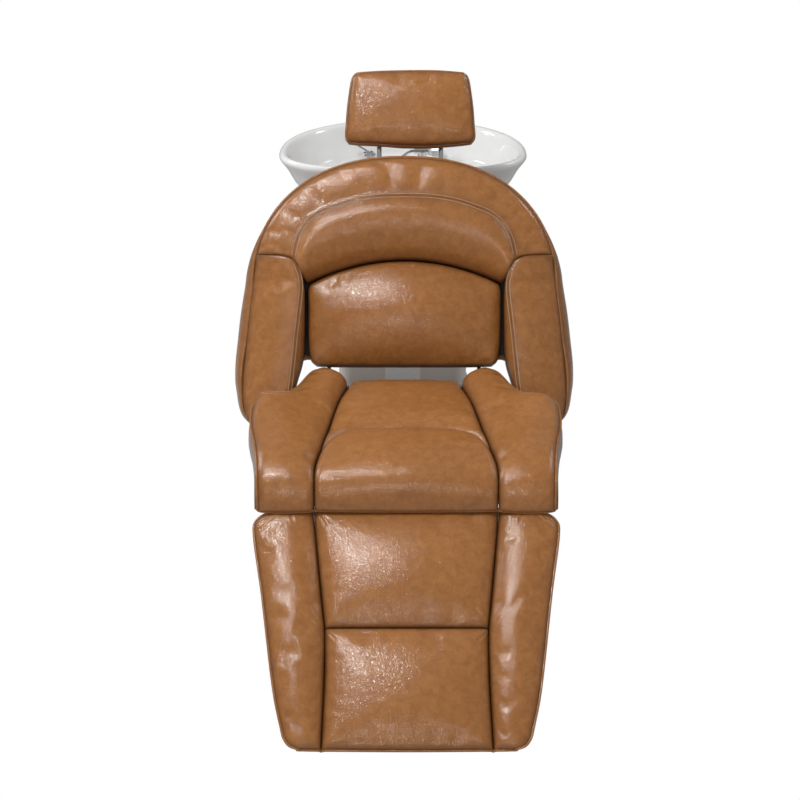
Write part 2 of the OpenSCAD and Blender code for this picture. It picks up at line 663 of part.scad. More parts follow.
function outward(i) = let (d = unit(outline[(i + 1) % outline_n] - outline[(i +
  outline_n - 1) % outline_n])) [d[1], -d[0]];
// Share of the outline that carries the front lip: 1 along the outside, 0 in the notch
function lip(i) = let (p = outline[i]) abs(p[0]) > wing_in + 15 || p[1] > notch_top + 10 ? 1 : 0;
function bulge_at(i) = let (p = outline[i])
  shell_bulge * sin(180 * clamp01((p[1] + wing_drop + 40) / (shoulder_rise + wing_drop + 230))) * lip(i);
function shell_ring(i) = let (p = outline[i], n = outward(i), b = bulge_at(i), t = shell_wall,
  front = lip(i) == 1 ? piping_off : 0, rear = -shell_deep,
  out = [[2, front], [2 + b * 0.75, front * 0.6 - 1], [2 + b, 8 * lip(i) - 6], [b * 0.5 - 8, rear + 16],
    [-34, rear]],
  inn = [[-34, rear + t], [b * 0.5 - 8 - t, rear + 16 + t], [2 + b - t, 8 * lip(i) - 6],
    [2 + b * 0.75 - t, front * 0.6 - 1], [2 - t, front]])
  [for (q = backwards(concat(out, inn))) [p[0] + n[0] * q[0], p[1] + n[1] * q[0], q[1]]];
module back_shell() color("peru") on_back() difference() {
  union() {
    loft_loop([for (i = [0:outline_n - 1]) shell_ring(i)]);
    translate([0, 0, -shell_deep]) linear_extrude(shell_wall)
      polygon([for (i = [0:outline_n - 1]) outline[i] - 33 * outward(i)]);
  }
  both() {
    translate([arm_x - arm_thick / 2 - 1, 0, -frame_tube - board_thick - 1])
      cube([arm_thick + 2, notch_top + 54, 45]);
    translate([link_x - 16, link_up - 20, -shell_deep - 5]) cube([32, 40, shell_wall + 10]);
  }
  translate([head_shift, 0, 0]) both()
    translate([post_spacing / 2, back_height - 60, post_off]) rotate([-90, 0, 0])
      cylinder(r = sleeve_r, h = 100);
}
post_off = board_off - 12;
sleeve_r = post_dia / 2 + 3;
link_up = 260;
link_off = -68;
// Plywood that carries the pads
board_inset = 12;
module back_board() color("burlywood") on_back() translate([0, 0, board_off]) linear_extrude(board_thick)
  polygon([for (i = [0:outline_n - 1]) outline[i] - board_inset * outward(i)]);
// Steel frame behind the board, with the hinge arms and the pins of the back links
frame_off = board_off - frame_tube;
arm_top = notch_top + 28;
module back_frame() color("dimgray") on_back() {
  both() {
    translate([arm_x, arm_top, frame_off]) tube_y(frame_tube, frame_tube, back_height - 120 - arm_top);
    difference() {
      translate([arm_x, 0, 0]) rotate([90, 0, 90]) linear_extrude(arm_thick, center = true) union() {
        circle(18);
        polygon([[-10, 15], [-16, -10], [arm_top + 2, frame_off], [arm_top + 2, board_off], [notch_top,
          board_off], [14, 12]]);
      }
      translate([arm_x, 0, 0]) axle(back_pin_dia / 2 + fit, 20);
    }
    for (s = [-1, 1]) difference() {
      translate([link_x + s * 10 - 2.5, link_up - 10, link_off - 9])
        cube([5, 20, frame_off - link_off + 12]);
      translate([link_x + s * 10, link_up, link_off]) axle(link_pin_r, 8);
    }
    translate([link_x, link_up, link_off]) axle(link_pin_r, 25);
  }
  for (y = [arm_top + 15, link_up, back_height - 147]) translate([0, y, frame_off])
    tube_x(frame_tube, frame_tube, 2 * arm_x - frame_tube);
}
function lumbar_arc(x) = lumbar_high - x * x / 902;
// Lumbar cushion: columns along x, so that its top follows the arc
function lumbar_top(u, v) = 34 + 40 * hump(v) * pow(sin(180 * clamp01(u)), 0.35) - 6 * pow(2 * u - 1, 2);
lumbar_cols = [0, 0.02, 0.08, 0.2, 0.35, 0.5, 0.65, 0.8, 0.92, 0.98, 1];
function lumbar_ring(u) = let (x = lumbar_half * (2 * u - 1), top = lumbar_arc(x), n = 9,
    low = lumbar_low + 6 * pow(abs(2 * u - 1), 6))
  concat([[x, top - 3, soft_gap], [x, low + 3, soft_gap]],
    [for (k = [0:n]) let (v = k / n) [x, low + (top - low) * v, k == 0 || k == n ? 30 : lumbar_top(u, v)]]);
module lumbar_cushion() color("peru") on_back() loft([for (u = lumbar_cols) lumbar_ring(u)]);

// Upper pad: a roll over the lumbar cushion and a flatter band out to the piping
pad_in = 6;
function seam_share(t) = 0.57 - 0.26 * t * t;
function roll_off(s, t) = let (f = seam_share(t))
  s < f ? piping_off - 14 + (wing_off - piping_off + 16) * pow(sin(90 * clamp01(s / (f * 0.62))), 0.7)
    - 6 * ease((s - f * 0.62) / (f * 0.38))
  : wing_off - 4 - (wing_off - piping_off - 6) * pow((s - f) / (1 - f), 1.8);
upper_steps = [0, 0.03, 0.1, 0.2, 0.32, 0.44, 0.56, 0.7, 0.85, 0.96, 1];
function upper_ring(t) = let (
    xi = (lumbar_half + 5) * t, inner = [xi, lumbar_arc(xi) + 5], a = 90 - 76.5 * t,
    o = t < 0 ? let (q = arch(180 - a)) [-q[0], q[1]] : arch(a),
    n = unit(o - inner), outer = o - pad_in * n)
  concat([[outer[0], outer[1], soft_gap], [inner[0], inner[1], soft_gap]],
    [for (s = upper_steps) let (q = inner + (outer - inner) * s) [q[0], q[1], roll_off(s, t)]]);
upper_rows = [-1, -0.93, -0.84, -0.74, -0.64, -0.53, -0.42, -0.28, -0.14, 0, 0.14, 0.28, 0.42, 0.53,
  0.64, 0.74, 0.84, 0.93, 1];
module upper_back_pad() color("peru") on_back() loft([for (t = upper_rows) upper_ring(t)]);

// Wing pads
wing_inner = [[-wing_drop, 299], [-72, 288], [-65, 278], [-55, 269], [-40, 261], [4, 254], [60, 240],
  [125, 234],
  [236, 232], [304, 252]];
wing_outer = [[-wing_drop, hip_half - 52], [-wing_drop + 12, hip_half - 24], [-15, hip_half - 4], [115,
  357], [shoulder_rise, shoulder_half - 3],
  [304, shoulder_half - 9]];
function wing_top(x, y) = let (a = lookup(y, wing_inner) - 6, b = lookup(y, wing_outer) - pad_in,
  u = (x - a) / (b - a))
  piping_off + 4 + (wing_off - piping_off) * pow(sin(180 * clamp01(u * 0.86 + 0.04)),
    0.55) * (1 - 0.85 * pow(clamp01((-wing_drop + 24 - y) / 24), 2));
wing_rows = [-wing_drop + 5, -65, -55, -40, -15, 4, 60, 115, 160, 210, 240];
wing_top_y = 240;
function wing_ring(y) = let (l = lookup(y, wing_inner) - 8, r = lookup(y, wing_outer) - pad_in)
  pad_ring(y, l, r, soft_gap, function(x, y) wing_top(x, y), 2, 9);
// The last rings lean over to follow the seam against the upper pad
function lean(ring, dy) = let (l = 226, r = 325) [for (p = ring) [p[0], p[1] +
  dy * clamp01((p[0] - l) / (r - l)), p[2]]];
module wing_form() loft(concat([for (y = wing_rows) wing_ring(y)], [lean(wing_ring(wing_top_y + 1), 30),
  lean(wing_ring(wing_top_y + 2), 58)]));
module right_wing_pad() color("peru") on_back() wing_form();
module left_wing_pad() color("peru") on_back() mirror([1, 0, 0]) wing_form();

module post_sleeves() color("silver") on_back() translate([head_shift, 0, 0]) both()
  translate([post_spacing / 2, back_height - 95, post_off]) rotate([-90, 0, 0]) difference() {
    union() {
      cylinder(r = sleeve_r, h = 92);
      translate([0, 0, 92]) cylinder(r = sleeve_r + 3, h = 4);
    }
    translate([0, 0, -1]) cylinder(r = post_dia / 2 + fit, h = 100);
  }
head_low = back_height + head_gap;
module headrest_posts() color("silver") on_back() translate([head_shift, 0, 0]) both()
  translate([post_spacing / 2, back_height - 85, post_off]) rotate([-90, 0, 0])
    cylinder(d = post_dia, h = head_low + 60 - back_height + 85);
head_off = post_off + 8;
module headrest_board() color("burlywood") on_back() translate([head_shift, 0, 0]) difference() {
  translate([0, head_low + head_height / 2, head_off - 22]) linear_extrude(22 - soft_gap)
    rounded(head_width - 56, head_height - 20, 16);
  both() translate([post_spacing / 2, head_low - 5, post_off]) rotate([-90, 0, 0])
    cylinder(d = post_dia, h = 65);
}
head_edge = [[0, 0.93], [6, 1], [40, 0.985], [140, 0.91], [162, 0.87], [171, 0.8], [175, 0.7]];
head_rows = [0, 3, 10, 30, 60, 90, 120, 145, 160, 170, 175];
function head_top(x, y) = let (h = head_width / 2 * lookup(y, head_edge)) head_off + head_thick - 14
  + 14 * hump((x + h) / (2 * h)) * (0.35 + 0.65 * pow(sin(180 * clamp01((y + 4) / (head_height + 8))),
    0.5));
module headrest_cushion() color("peru") on_back() translate([head_shift, head_low, 0])
  loft([for (q = head_rows)
  let (y = q * head_height / 175, h = head_width / 2 * lookup(q, head_edge))
  pad_ring(y, -h, h, head_off, function(x, y) head_top(x, y), 4, 12)]);

// Legrest, in its own plane: y up the slope, z away from the floor

leg_outer = [[leg_end, leg_half_end - 22], [leg_end + 8, leg_half_end - 9], [leg_end + 24, leg_half_end],
  [-386, 256],
  [-166, 287], [-24, leg_half_top], [-12, leg_half_top - 8], [2, leg_half_top - 28]];
leg_inner = [[leg_end, 165], [-leg_seam, 161], [-187, 168], [-17, 187], [2, 189]];
leg_rows = [leg_end, leg_end + 4, leg_end + 12, leg_end + 30, -400, -330, -leg_seam - 34, -leg_seam - 12,
  -leg_seam];
function leg_low(y) = leg_low_off + (leg_top_off - 12 - leg_low_off) * ease((y + 58) / 46);
function leg_ends(y) = pow(clamp01((leg_end + 14 - y) / 14), 2) + 0.7 * pow(clamp01((y + 22) / 24), 2);
function leg_mid_top(x, y, a, b) = let (h = lookup(y, leg_inner), u = (x + h) / (2 * h),
  v = (y - a) / (b - a))
  leg_top_off - 6 - 12 * leg_ends(y) + 18 * hump(u) * pow(sin(180 * clamp01(v)), 0.4);
function leg_side_top(x, y) = let (a = lookup(y, leg_inner), b = lookup(y, leg_outer),
  u = (x - a) / (b - a))
  leg_top_off - 6 - 12 * leg_ends(y) + 20 * hump(u) * (1 - leg_ends(y)) * ease(-y / 40) + 4 * u;
module leg_pad(rows, a, b) loft([for (y = rows) let (h = lookup(y, leg_inner) - seam_gap / 2)
  pad_ring(y, -h, h, leg_low(y) + soft_gap, function(x, y) leg_mid_top(x, y, a, b), 3, 12)]);
module leg_upper_pad() color("peru") on_leg()
  leg_pad([-leg_seam + seam_gap, -leg_seam + 8, -leg_seam + 24, -187, -120, -70, -40, -22, -17, -4, 2],
    -leg_seam, -8);
module leg_lower_pad() color("peru") on_leg() leg_pad(leg_rows, leg_end, -leg_seam);
leg_side_rows = [leg_end, leg_end + 4, leg_end + 12, leg_end + 26, -386, -310, -leg_seam, -187, -166,
  -110, -60, -36, -22,
  -17, -8, 2];
module leg_side() loft([for (y = leg_side_rows)
  let (l = lookup(y, leg_inner) + seam_gap / 2, r = lookup(y, leg_outer))
  pad_ring(y, l, r, leg_low(y) + soft_gap, function(x, y) leg_side_top(x, y), 4, 8)]);
module right_leg_bolster() color("peru") on_leg() leg_side();
module left_leg_bolster() color("peru") on_leg() mirror([1, 0, 0]) leg_side();
module legrest_board() color("burlywood") on_leg() translate([0, 0,
  leg_low_off - board_thick]) linear_extrude(board_thick)
  polygon([[-leg_half_end + 22, leg_end + 10], [leg_half_end - 22, leg_end + 10], [leg_half_end - 12,
    leg_end + 24],
    [leg_half_top - 24, -60], [-leg_half_top + 24, -60], [-leg_half_end + 12, leg_end + 24]]);
leg_frame_off = leg_low_off - board_thick - frame_tube;
lever_y = -50;
lever_z = -62;
lever_pin = 5;
module legrest_frame() color("dimgray") on_leg() {
  both() {
    translate([leg_lug_x, leg_end + 60, leg_frame_off]) tube_y(frame_tube, frame_tube, leg_length - 92);
    difference() {
      translate([leg_lug_x, 0, 0]) rotate([90, 0, 90]) linear_extrude(leg_lug_thick,
        center = true) union() {
        circle(10);
        polygon([[-10, 0], [10, 0], [8, leg_frame_off], [-34, leg_frame_off], [-34, leg_frame_off +
          frame_tube]]);
      }
      translate([leg_lug_x, 0, 0]) axle(leg_pin_dia / 2 + fit, 20);
    }
  }
  for (y = [-90, leg_end + 62]) translate([0, y, leg_frame_off])
    tube_x(frame_tube, frame_tube, 2 * leg_lug_x - frame_tube);
  translate([leg_motor_x, 0, 0]) for (s = [-1, 1]) difference() {
    translate([s * 12 - 2.5, -80, lever_z - 8]) cube([5, 42, 20]);
    translate([s * 12, lever_y, lever_z]) axle(lever_pin, 8);
  }
  translate([leg_motor_x, lever_y, lever_z]) axle(lever_pin, 29);
}
// Leg motor: a tube that swings on the carriage and a rod with an eye around the lever's pin
lever_world = [leg_hinge_y + lever_y * cos(leg_slope) - lever_z * sin(leg_slope),
  leg_hinge_z + lever_y * sin(leg_slope) + lever_z * cos(leg_slope)];
leg_motor_vec = [lever_world[0] - leg_motor_y, lever_world[1] - leg_motor_z];
leg_motor_len = norm(leg_motor_vec);
leg_motor_dip = atan2(-leg_motor_vec[1], -leg_motor_vec[0]);
eye_play = 3.2;
module along_motor() at_middle() translate([leg_motor_x, leg_motor_y, leg_motor_z])
  rotate([leg_motor_dip, 0, 0]) mirror([0, 1, 0]) children();
module leg_motor() color("dimgray") along_motor() {
  difference() {
    union() {
      translate([0, 18, 0]) rotate([-90, 0, 0]) cylinder(r = 18, h = 165);
      translate([-12, -4, -12]) cube([24, 26, 24]);
    }
    translate([0, 100, 0]) rotate([-90, 0, 0]) cylinder(r = rod_r + fit, h = 100);
  }
  axle(leg_motor_pin - fit, 55);
}
module leg_motor_rod() color("silver") along_motor() difference() {
  union() {
    translate([0, 104, 0]) rotate([-90, 0, 0]) cylinder(r = rod_r,
      h = leg_motor_len - 104 - lever_pin - eye_play - 1);
    translate([0, leg_motor_len, 0]) axle(lever_pin + eye_play + 4, 16);
  }
  translate([0, leg_motor_len, 0]) axle(lever_pin + eye_play, 20);
}
// Links between the column and the back: they lean the back as the seat runs forward
link_world = [hinge_y + link_up * cos(back_angle) - link_off * sin(back_angle),
  hinge_z + link_up * sin(back_angle) + link_off * cos(back_angle)];
link_vec = [link_world[0] - link_pivot_y, link_world[1] - link_pivot_z];
link_len = norm(link_vec);
link_rise = atan2(link_vec[1], -link_vec[0]);
link_play = 4.2;
module back_links() color("silver") at_middle() both() translate([link_x, link_pivot_y, link_pivot_z])
  rotate([-link_rise, 0, 0]) {
    difference() {
      union() {
        for (s = [-1, 1]) translate([s * 7.5 - 2.5, -40, -9]) cube([5, 50, 18]);
        translate([-5, -link_len + 12, -7]) cube([10, link_len - 12 - 28, 14]);
        for (s = [-1, 1]) translate([s * 5, -40, -7]) mirror([s < 0 ? 1 : 0, 0, 0])
          translate([-5, 0, 0]) cube([6, 12, 14]);
        translate([0, -link_len, 0]) axle(link_pin_r + link_play + 5, 12);
      }
      translate([0, -link_len, 0]) axle(link_pin_r + link_play, 20);
      translate([0, 0, 0]) axle(link_pin_r, 30);
    }
    axle(link_pin_r, 22);
  }

// Bowl

// Oval ring: half width w, reach f to the front and b to the rear, at height z
function oval(w, f, b, z, n = 44) = [for (k = [0:n - 1]) let (a = -360 * k / n, c = cos(a), s = sin(a),
  p = s < 0 ? 0.8 : 0.95)
  [w * sign(c) * pow(abs(c), p), bowl_y + (s < 0 ? f : b) * sign(s) * pow(abs(s), p), z]];
function shrink(d) = [bowl_half - d, bowl_front - d * 0.55, bowl_rear - d];
function oval_in(d, z, y = 0) = let (q = shrink(d)) oval(q[0], q[1], q[2] - y, z);
module bowl() color("white") at_middle() difference() {
  loft([oval(112, 70, 110, foot_z), oval(135, 80, 130, foot_z + 8), oval(190, 97, 170, foot_z + 45),
    oval_in(44, rim_height - 80), oval_in(19, rim_height - 38), oval_in(3, rim_height - 16), oval_in(0,
      rim_height - 9),
    oval_in(3, rim_height - 3), oval_in(8, rim_height)]);
  // recess under the rim, with the deck for the taps at the rear
  loft([oval_in(rim_wall + 34, deck_z), oval_in(rim_wall + 30, deck_z + 8), oval_in(rim_wall + 12,
    rim_height - 30),
    oval_in(rim_wall + 3, rim_height - 8), oval_in(rim_wall - 3, rim_height - 1), oval_in(rim_wall - 8,
      rim_height + 4)]);
  // deep basin
  loft([oval(60, 54, 55, foot_z + 16), oval(120, 66, 80, foot_z + 24), oval(180, 88, 104, foot_z + 46),
    oval(226, 104, 120, foot_z + 76), oval(248, 111, 128, deck_z - 4), oval(253, 113, 134, deck_z + 2)]);
  translate([0, bowl_y - bowl_front - 20, rim_height + notch_up]) rotate([-90, 0, 0])
    cylinder(r = notch_radius, h = 100);
  translate([0, drain_y, foot_z - 5]) cylinder(d = drain_dia, h = 60);
  translate([mixer_x, deck_y, foot_z]) cylinder(r = shank_r + 1, h = 120);
  translate([hose_x, deck_y, deck_z]) rotate([0, hose_lean, 0])
    cylinder(r = sleeve_outer + 0.5, h = 80, center = true);
}
notch_up = 70;
deck_y = bowl_y + 154;
mixer_x = -84;
shank_r = 15;
hose_x = -10;
hose_lean = 42;
hose_r = 4.5;
sleeve_outer = 8;
holder_x = 50;
shower_z = deck_z + 27;
grip_r = 9;
module neck_rest() color("black") at_middle() translate([0, bowl_y - bowl_front - 12, rim_height +
  notch_up])
  rotate([-90, 0, 0]) difference() {
    cylinder(r = notch_radius - soft_gap, h = 52);
    translate([0, 0, -1]) cylinder(r = notch_radius - 17, h = 54);
    translate([-200, -400 + notch_up - 8, -1]) cube([400, 400, 60]);
  }
module bowl_cradle() color("dimgray") at_middle() {
  difference() {
    translate([0, bowl_y, foot_z - 8]) linear_extrude(8) rounded(190, 130, 14);
    translate([0, drain_y, foot_z - 10]) cylinder(d = drain_dia, h = 20);
  }
  both() difference() {
    union() {
      translate([yoke_x - 16, tilt_y - 20, tilt_z]) cube([8, 40, foot_z - 8 - tilt_z]);
      translate([yoke_x - 12, tilt_y, tilt_z]) axle(15, 8);
    }
    translate([yoke_x - 12, tilt_y, tilt_z]) axle(tilt_pin_r, 12);
  }
}
module bowl_pivot_pins() color("silver") at_middle() both() translate([yoke_x - 5, tilt_y, tilt_z]) {
  axle(tilt_pin_r - fit, 26);
}
module drain_strainer() color("silver") at_middle() translate([0, drain_y, 0]) difference() {
  union() {
    translate([0, 0, foot_z + 16.2]) cylinder(d = drain_dia + 16, h = 3);
    translate([0, 0, foot_z - 24]) cylinder(d = drain_dia - 2, h = 41);
  }
  for (a = [0:60:300]) rotate([0, 0, a]) translate([11, 0, foot_z + 10]) cylinder(d = 7, h = 20);
  translate([0, 0, foot_z - 25]) cylinder(d = drain_dia - 8, h = 36);
}
// Flexible hoses that bend as the bowl tilts: the drain, and hot and cold water
module bowl_hoses() color("lightgray") at_middle() {
  translate([0, drain_y, trap_top]) difference() {
    cylinder(r = 20, h = foot_z - 24 - trap_top);
    translate([0, 0, -1]) cylinder(r = 16, h = foot_z - 22 - trap_top);
  }
  for (s = [-1, 1]) hose([s * valve_x, valve_y, valve_z + 48.3], [0, 0, 160],
    [mixer_x + s * 7, deck_y, deck_z - 34.2], [0, 0, 160], 5, 14);
}
module mixer_body() color("silver") at_middle() translate([mixer_x, deck_y, 0]) {
  translate([0, 0, deck_z + soft_gap]) cylinder(r = 21, h = 4);
  translate([0, 0, deck_z + 4]) cylinder(r = 19, h = mixer_high - 4);
  translate([0, 0, deck_z - 34]) cylinder(r = shank_r, h = 36);
}
mixer_high = 10;
cap_z = deck_z + mixer_high + fit;
lever_z0 = cap_z + 12;
lever_rise = 33;
lever_long = 46;
lever_pin_r = 1.5;
// Cap that turns for hot and cold, slotted for the lever
module mixer_cap() color("silver") at_middle() translate([mixer_x, deck_y, 0]) difference() {
  union() {
    translate([0, 0, cap_z]) cylinder(r = 19, h = 9);
    translate([0, 0, cap_z + 9]) intersection() {
      translate([0, 0, -18]) sphere(r = 26);
      cylinder(r = 19, h = 12);
    }
  }
  translate([-30, -4.5, lever_z0 - 6]) cube([38, 9, 30]);
  translate([0, 0, lever_z0]) rotate([90, 0, 0]) cylinder(r = lever_pin_r + fit, h = 60, center = true);
}
module mixer_lever() color("silver") at_middle() translate([mixer_x, deck_y, lever_z0]) {
  rotate([90, 0, 0]) cylinder(r = 5, h = 8, center = true);
  rotate([90, 0, 0]) cylinder(r = lever_pin_r, h = 20, center = true);
  rotate([0, lever_rise - 90, 0]) cylinder(r = 3.5, h = lever_long);
  rotate([0, lever_rise - 90, 0]) translate([0, 0, lever_long]) sphere(r = 5);
}
// Saddle for the hand shower and the slanted sleeve of its hose
module shower_holder() color("silver") at_middle() translate([0, deck_y, 0]) {
  difference() {
    translate([holder_x, 0, deck_z + soft_gap]) cylinder(r = 12, h = shower_z - deck_z);
    translate([holder_x, 0, shower_z]) axle(grip_r + slide_gap, 40);
  }
  translate([hose_x, 0, deck_z]) rotate([0, hose_lean, 0]) difference() {
    translate([0, 0, -16]) cylinder(r = sleeve_outer, h = 25);
    translate([0, 0, -17]) cylinder(r = hose_r + 1, h = 30);
  }
}
module hand_shower() color("silver") at_middle() translate([holder_x - 20, deck_y, shower_z]) {
  rotate([0, 90, 0]) cylinder(r = grip_r, h = 42);
  translate([54, 0, -7]) cylinder(r = 20, h = 14);
}
// Tube along a curve from p to q that leaves p along u and reaches q along v, all in the plane of X and Z
function bezier(p, u, q, v, t) = pow(1 - t, 3) * p + 3 * t * pow(1 - t, 2) * (p + u) +
  3 * t * t * (1 - t) * (q - v)
  + t * t * t * q;
function slope_of(p, u, q, v, t) = unit(bezier(p, u, q, v, min(1, t + 0.01)) - bezier(p, u, q, v, max(0,
  t - 0.01)));
function tube_ring(c, d, r, n = 8) = let (side = unit(cross(d, [0.013, 1, 0.02])), up = cross(side, d))
  [for (k = [0:n - 1]) c + r * (cos(360 * k / n) * side + sin(360 * k / n) * up)];
module hose(p, u, q, v, r, steps) loft([for (i = [0:steps])
  tube_ring(bezier(p, u, q, v, i / steps), slope_of(p, u, q, v, i / steps), r)]);
module shower_hose() color("silver") at_middle() let (c = cos(hose_lean), s = sin(hose_lean))
  hose([hose_x - 14 * s, deck_y, deck_z - 14 * c], [22 * s, 0, 22 * c],
    [holder_x - 20.2, deck_y, shower_z], [16, 0, 0], hose_r, 12);

floor_plate();
levelling_feet();
pedestal_frame();
pedestal_cover();
slide_rails();
seat_motor();
column_frame();
column_cover();
column_front_plate();
bowl_yoke();
control_panel();
control_box();
power_inlet();
water_valves();
drain_trap();
cover_screws();
seat_carriage();
runner_blocks();
seat_board();
seat_cushion();
left_seat_bolster();
right_seat_bolster();
seat_motor_rod();
back_hinge_pins();
leg_hinge_pins();
back_frame();
back_board();
back_shell();
upper_back_pad();
lumbar_cushion();
left_wing_pad();
right_wing_pad();
post_sleeves();
headrest_posts();
headrest_board();
headrest_cushion();
legrest_frame();
legrest_board();
leg_upper_pad();
leg_lower_pad();
left_leg_bolster();
right_leg_bolster();
leg_motor();
leg_motor_rod();
back_links();
bowl();
bowl_cradle();
bowl_pivot_pins();
drain_strainer();
bowl_hoses();
neck_rest();
mixer_body();
shower_holder();
mixer_cap();
mixer_lever();
hand_shower();
shower_hose();
legrest_rocker();
recline_rocker();
service_door();
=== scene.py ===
import json
import math
import bpy
import bmesh
import numpy as np
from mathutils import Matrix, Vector
from mathutils.bvhtree import BVHTree


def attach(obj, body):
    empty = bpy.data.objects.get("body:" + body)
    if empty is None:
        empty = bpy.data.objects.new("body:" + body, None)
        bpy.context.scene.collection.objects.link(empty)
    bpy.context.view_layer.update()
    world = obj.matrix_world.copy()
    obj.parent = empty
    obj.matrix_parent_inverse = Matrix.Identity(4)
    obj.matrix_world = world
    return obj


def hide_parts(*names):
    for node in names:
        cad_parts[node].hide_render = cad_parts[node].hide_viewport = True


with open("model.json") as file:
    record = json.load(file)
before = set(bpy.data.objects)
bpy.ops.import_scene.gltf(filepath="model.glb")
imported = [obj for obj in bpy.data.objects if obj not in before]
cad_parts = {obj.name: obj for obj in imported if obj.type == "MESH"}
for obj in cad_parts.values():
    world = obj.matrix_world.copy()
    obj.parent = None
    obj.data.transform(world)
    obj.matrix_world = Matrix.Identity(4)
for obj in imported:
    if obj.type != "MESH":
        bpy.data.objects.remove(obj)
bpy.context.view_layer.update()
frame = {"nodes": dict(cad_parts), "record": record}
nodes = frame["nodes"]
print("frame loaded")

# Shapes are worked out in millimetres, most pads in the plane of their board, and then set in place
metre = 0.001
placeSettings = {"seatShift": 260.763, "backHinge": (56.237, 384), "backLean": 62,
                 "legHinge": (-467.763, 364), "legSlope": 38}


def leaned(points, hinge, degrees):
    c, s = math.cos(math.radians(degrees)), math.sin(math.radians(degrees))
    x, y, z = points[..., 0], points[..., 1], points[..., 2]
    return np.stack([x, hinge[0] + c * y - s * z, hinge[1] + s * y + c * z], -1)


def onBack(points):
    return leaned(points, placeSettings["backHinge"], placeSettings["backLean"])


def onLeg(points):
    return leaned(points, placeSettings["legHinge"], placeSettings["legSlope"])


def onSeat(points):
    return points - np.array([0, placeSettings["seatShift"], 0])


# Material parts

def newMaterial(name):
    material = bpy.data.materials.new(name)
    material.use_nodes = True
    tree = material.node_tree
    return material, tree, tree.nodes["Principled BSDF"]


def feed(tree, value, socket):
    if hasattr(value, "is_linked"):
        tree.links.new(value, socket)
    else:
        socket.default_value = value


def objectPlace(tree):
    coord = tree.nodes.get("coord") or tree.nodes.new("ShaderNodeTexCoord")
    coord.name = "coord"
    return coord.outputs["Object"]


def noiseOf(tree, scale, detail=4, roughness=0.55, distortion=0.0, stretch=None, source=None):
    node = tree.nodes.new("ShaderNodeTexNoise")
    labels = ("Scale", "Detail", "Roughness", "Distortion")
    for label, value in zip(labels, (scale, detail, roughness, distortion)):
        node.inputs[label].default_value = value
    place = objectPlace(tree) if source is None else source
    if stretch is not None:
        mapping = tree.nodes.new("ShaderNodeMapping")
        mapping.inputs["Scale"].default_value = stretch
        tree.links.new(place, mapping.inputs["Vector"])
        place = mapping.outputs[0]
    tree.links.new(place, node.inputs["Vector"])
    return node.outputs[0]


def rangeOf(tree, source, fromLow, fromHigh, toLow, toHigh):
    node = tree.nodes.new("ShaderNodeMapRange")
    for place, value in enumerate((fromLow, fromHigh, toLow, toHigh)):
        node.inputs[place + 1].default_value = value
    tree.links.new(source, node.inputs[0])
    return node.outputs[0]


def mixOf(tree, factor, first, second):
    node = tree.nodes.new("ShaderNodeMix")
    node.data_type = "RGBA"
    for value, place in ((factor, 0), (first, 6), (second, 7)):
        feed(tree, value, node.inputs[place])
    return node.outputs[2]


def product(tree, first, second):
    node = tree.nodes.new("ShaderNodeMath")
    node.operation = "MULTIPLY"
    feed(tree, first, node.inputs[0])
    feed(tree, second, node.inputs[1])
    return node.outputs[0]


def bumpOf(tree, height, depth, below=None):
    node = tree.nodes.new("ShaderNodeBump")
    node.inputs["Strength"].default_value, node.inputs["Distance"].default_value = depth
    tree.links.new(height, node.inputs["Height"])
    if below is not None:
        tree.links.new(below, node.inputs["Normal"])
    return node.outputs[0]


def attributeOf(tree, name):
    node = tree.nodes.new("ShaderNodeAttribute")
    node.attribute_name = name
    return node.outputs["Vector"]


# Tan leather. Noises hold scale, detail, roughness and distortion; bumps hold strength and distance in metres
leatherSettings = {
    "colour": (0.350, 0.138, 0.035), "dark": (0.200, 0.068, 0.015), "light": (0.460, 0.205, 0.064),
    # The seam colour and its share are painted shade: near-black mixed into the leather along seams, borders
    # and skirts
    "seamColour": (0.050, 0.015, 0.004), "seamShare": 0.80, "evenShare": 0.62, "cloudShare": 0.18,
    "fleckShare": 0.16, "mottleRange": (0.34, 0.66), "cloudRange": (0.38, 0.62), "fleckRange": (0.38, 0.60),
    "roughRange": (0.35, 0.65), "roughness": (0.50, 0.64), "specular": 0.12, "coat": 1.0,
    "coatRoughness": 0.145, "grainEdge": 0.22,
    "cloud": (7, 3, 0.5, 0.4), "mottle": (55, 6, 0.66, 0.6), "fleck": (210, 3, 0.6, 0.2),
    "crease": (120, 4, 0.6, 0.8), "soft": (24, 3, 0.5, 0.4), "pull": (1, 3, 0.5, 0.5), "grainScale": 330,
    "pullAcross": (9, 95, 1), "pullAlong": (95, 9, 1), "softBump": (0.15, 0.004), "pullBump": (0.12, 0.003),
    "creaseBump": (0.50, 0.0010), "grainBump": (0.42, 0.0004), "coatCrease": (0.46, 0.0009),
    "coatGrain": (0.30, 0.0004)}


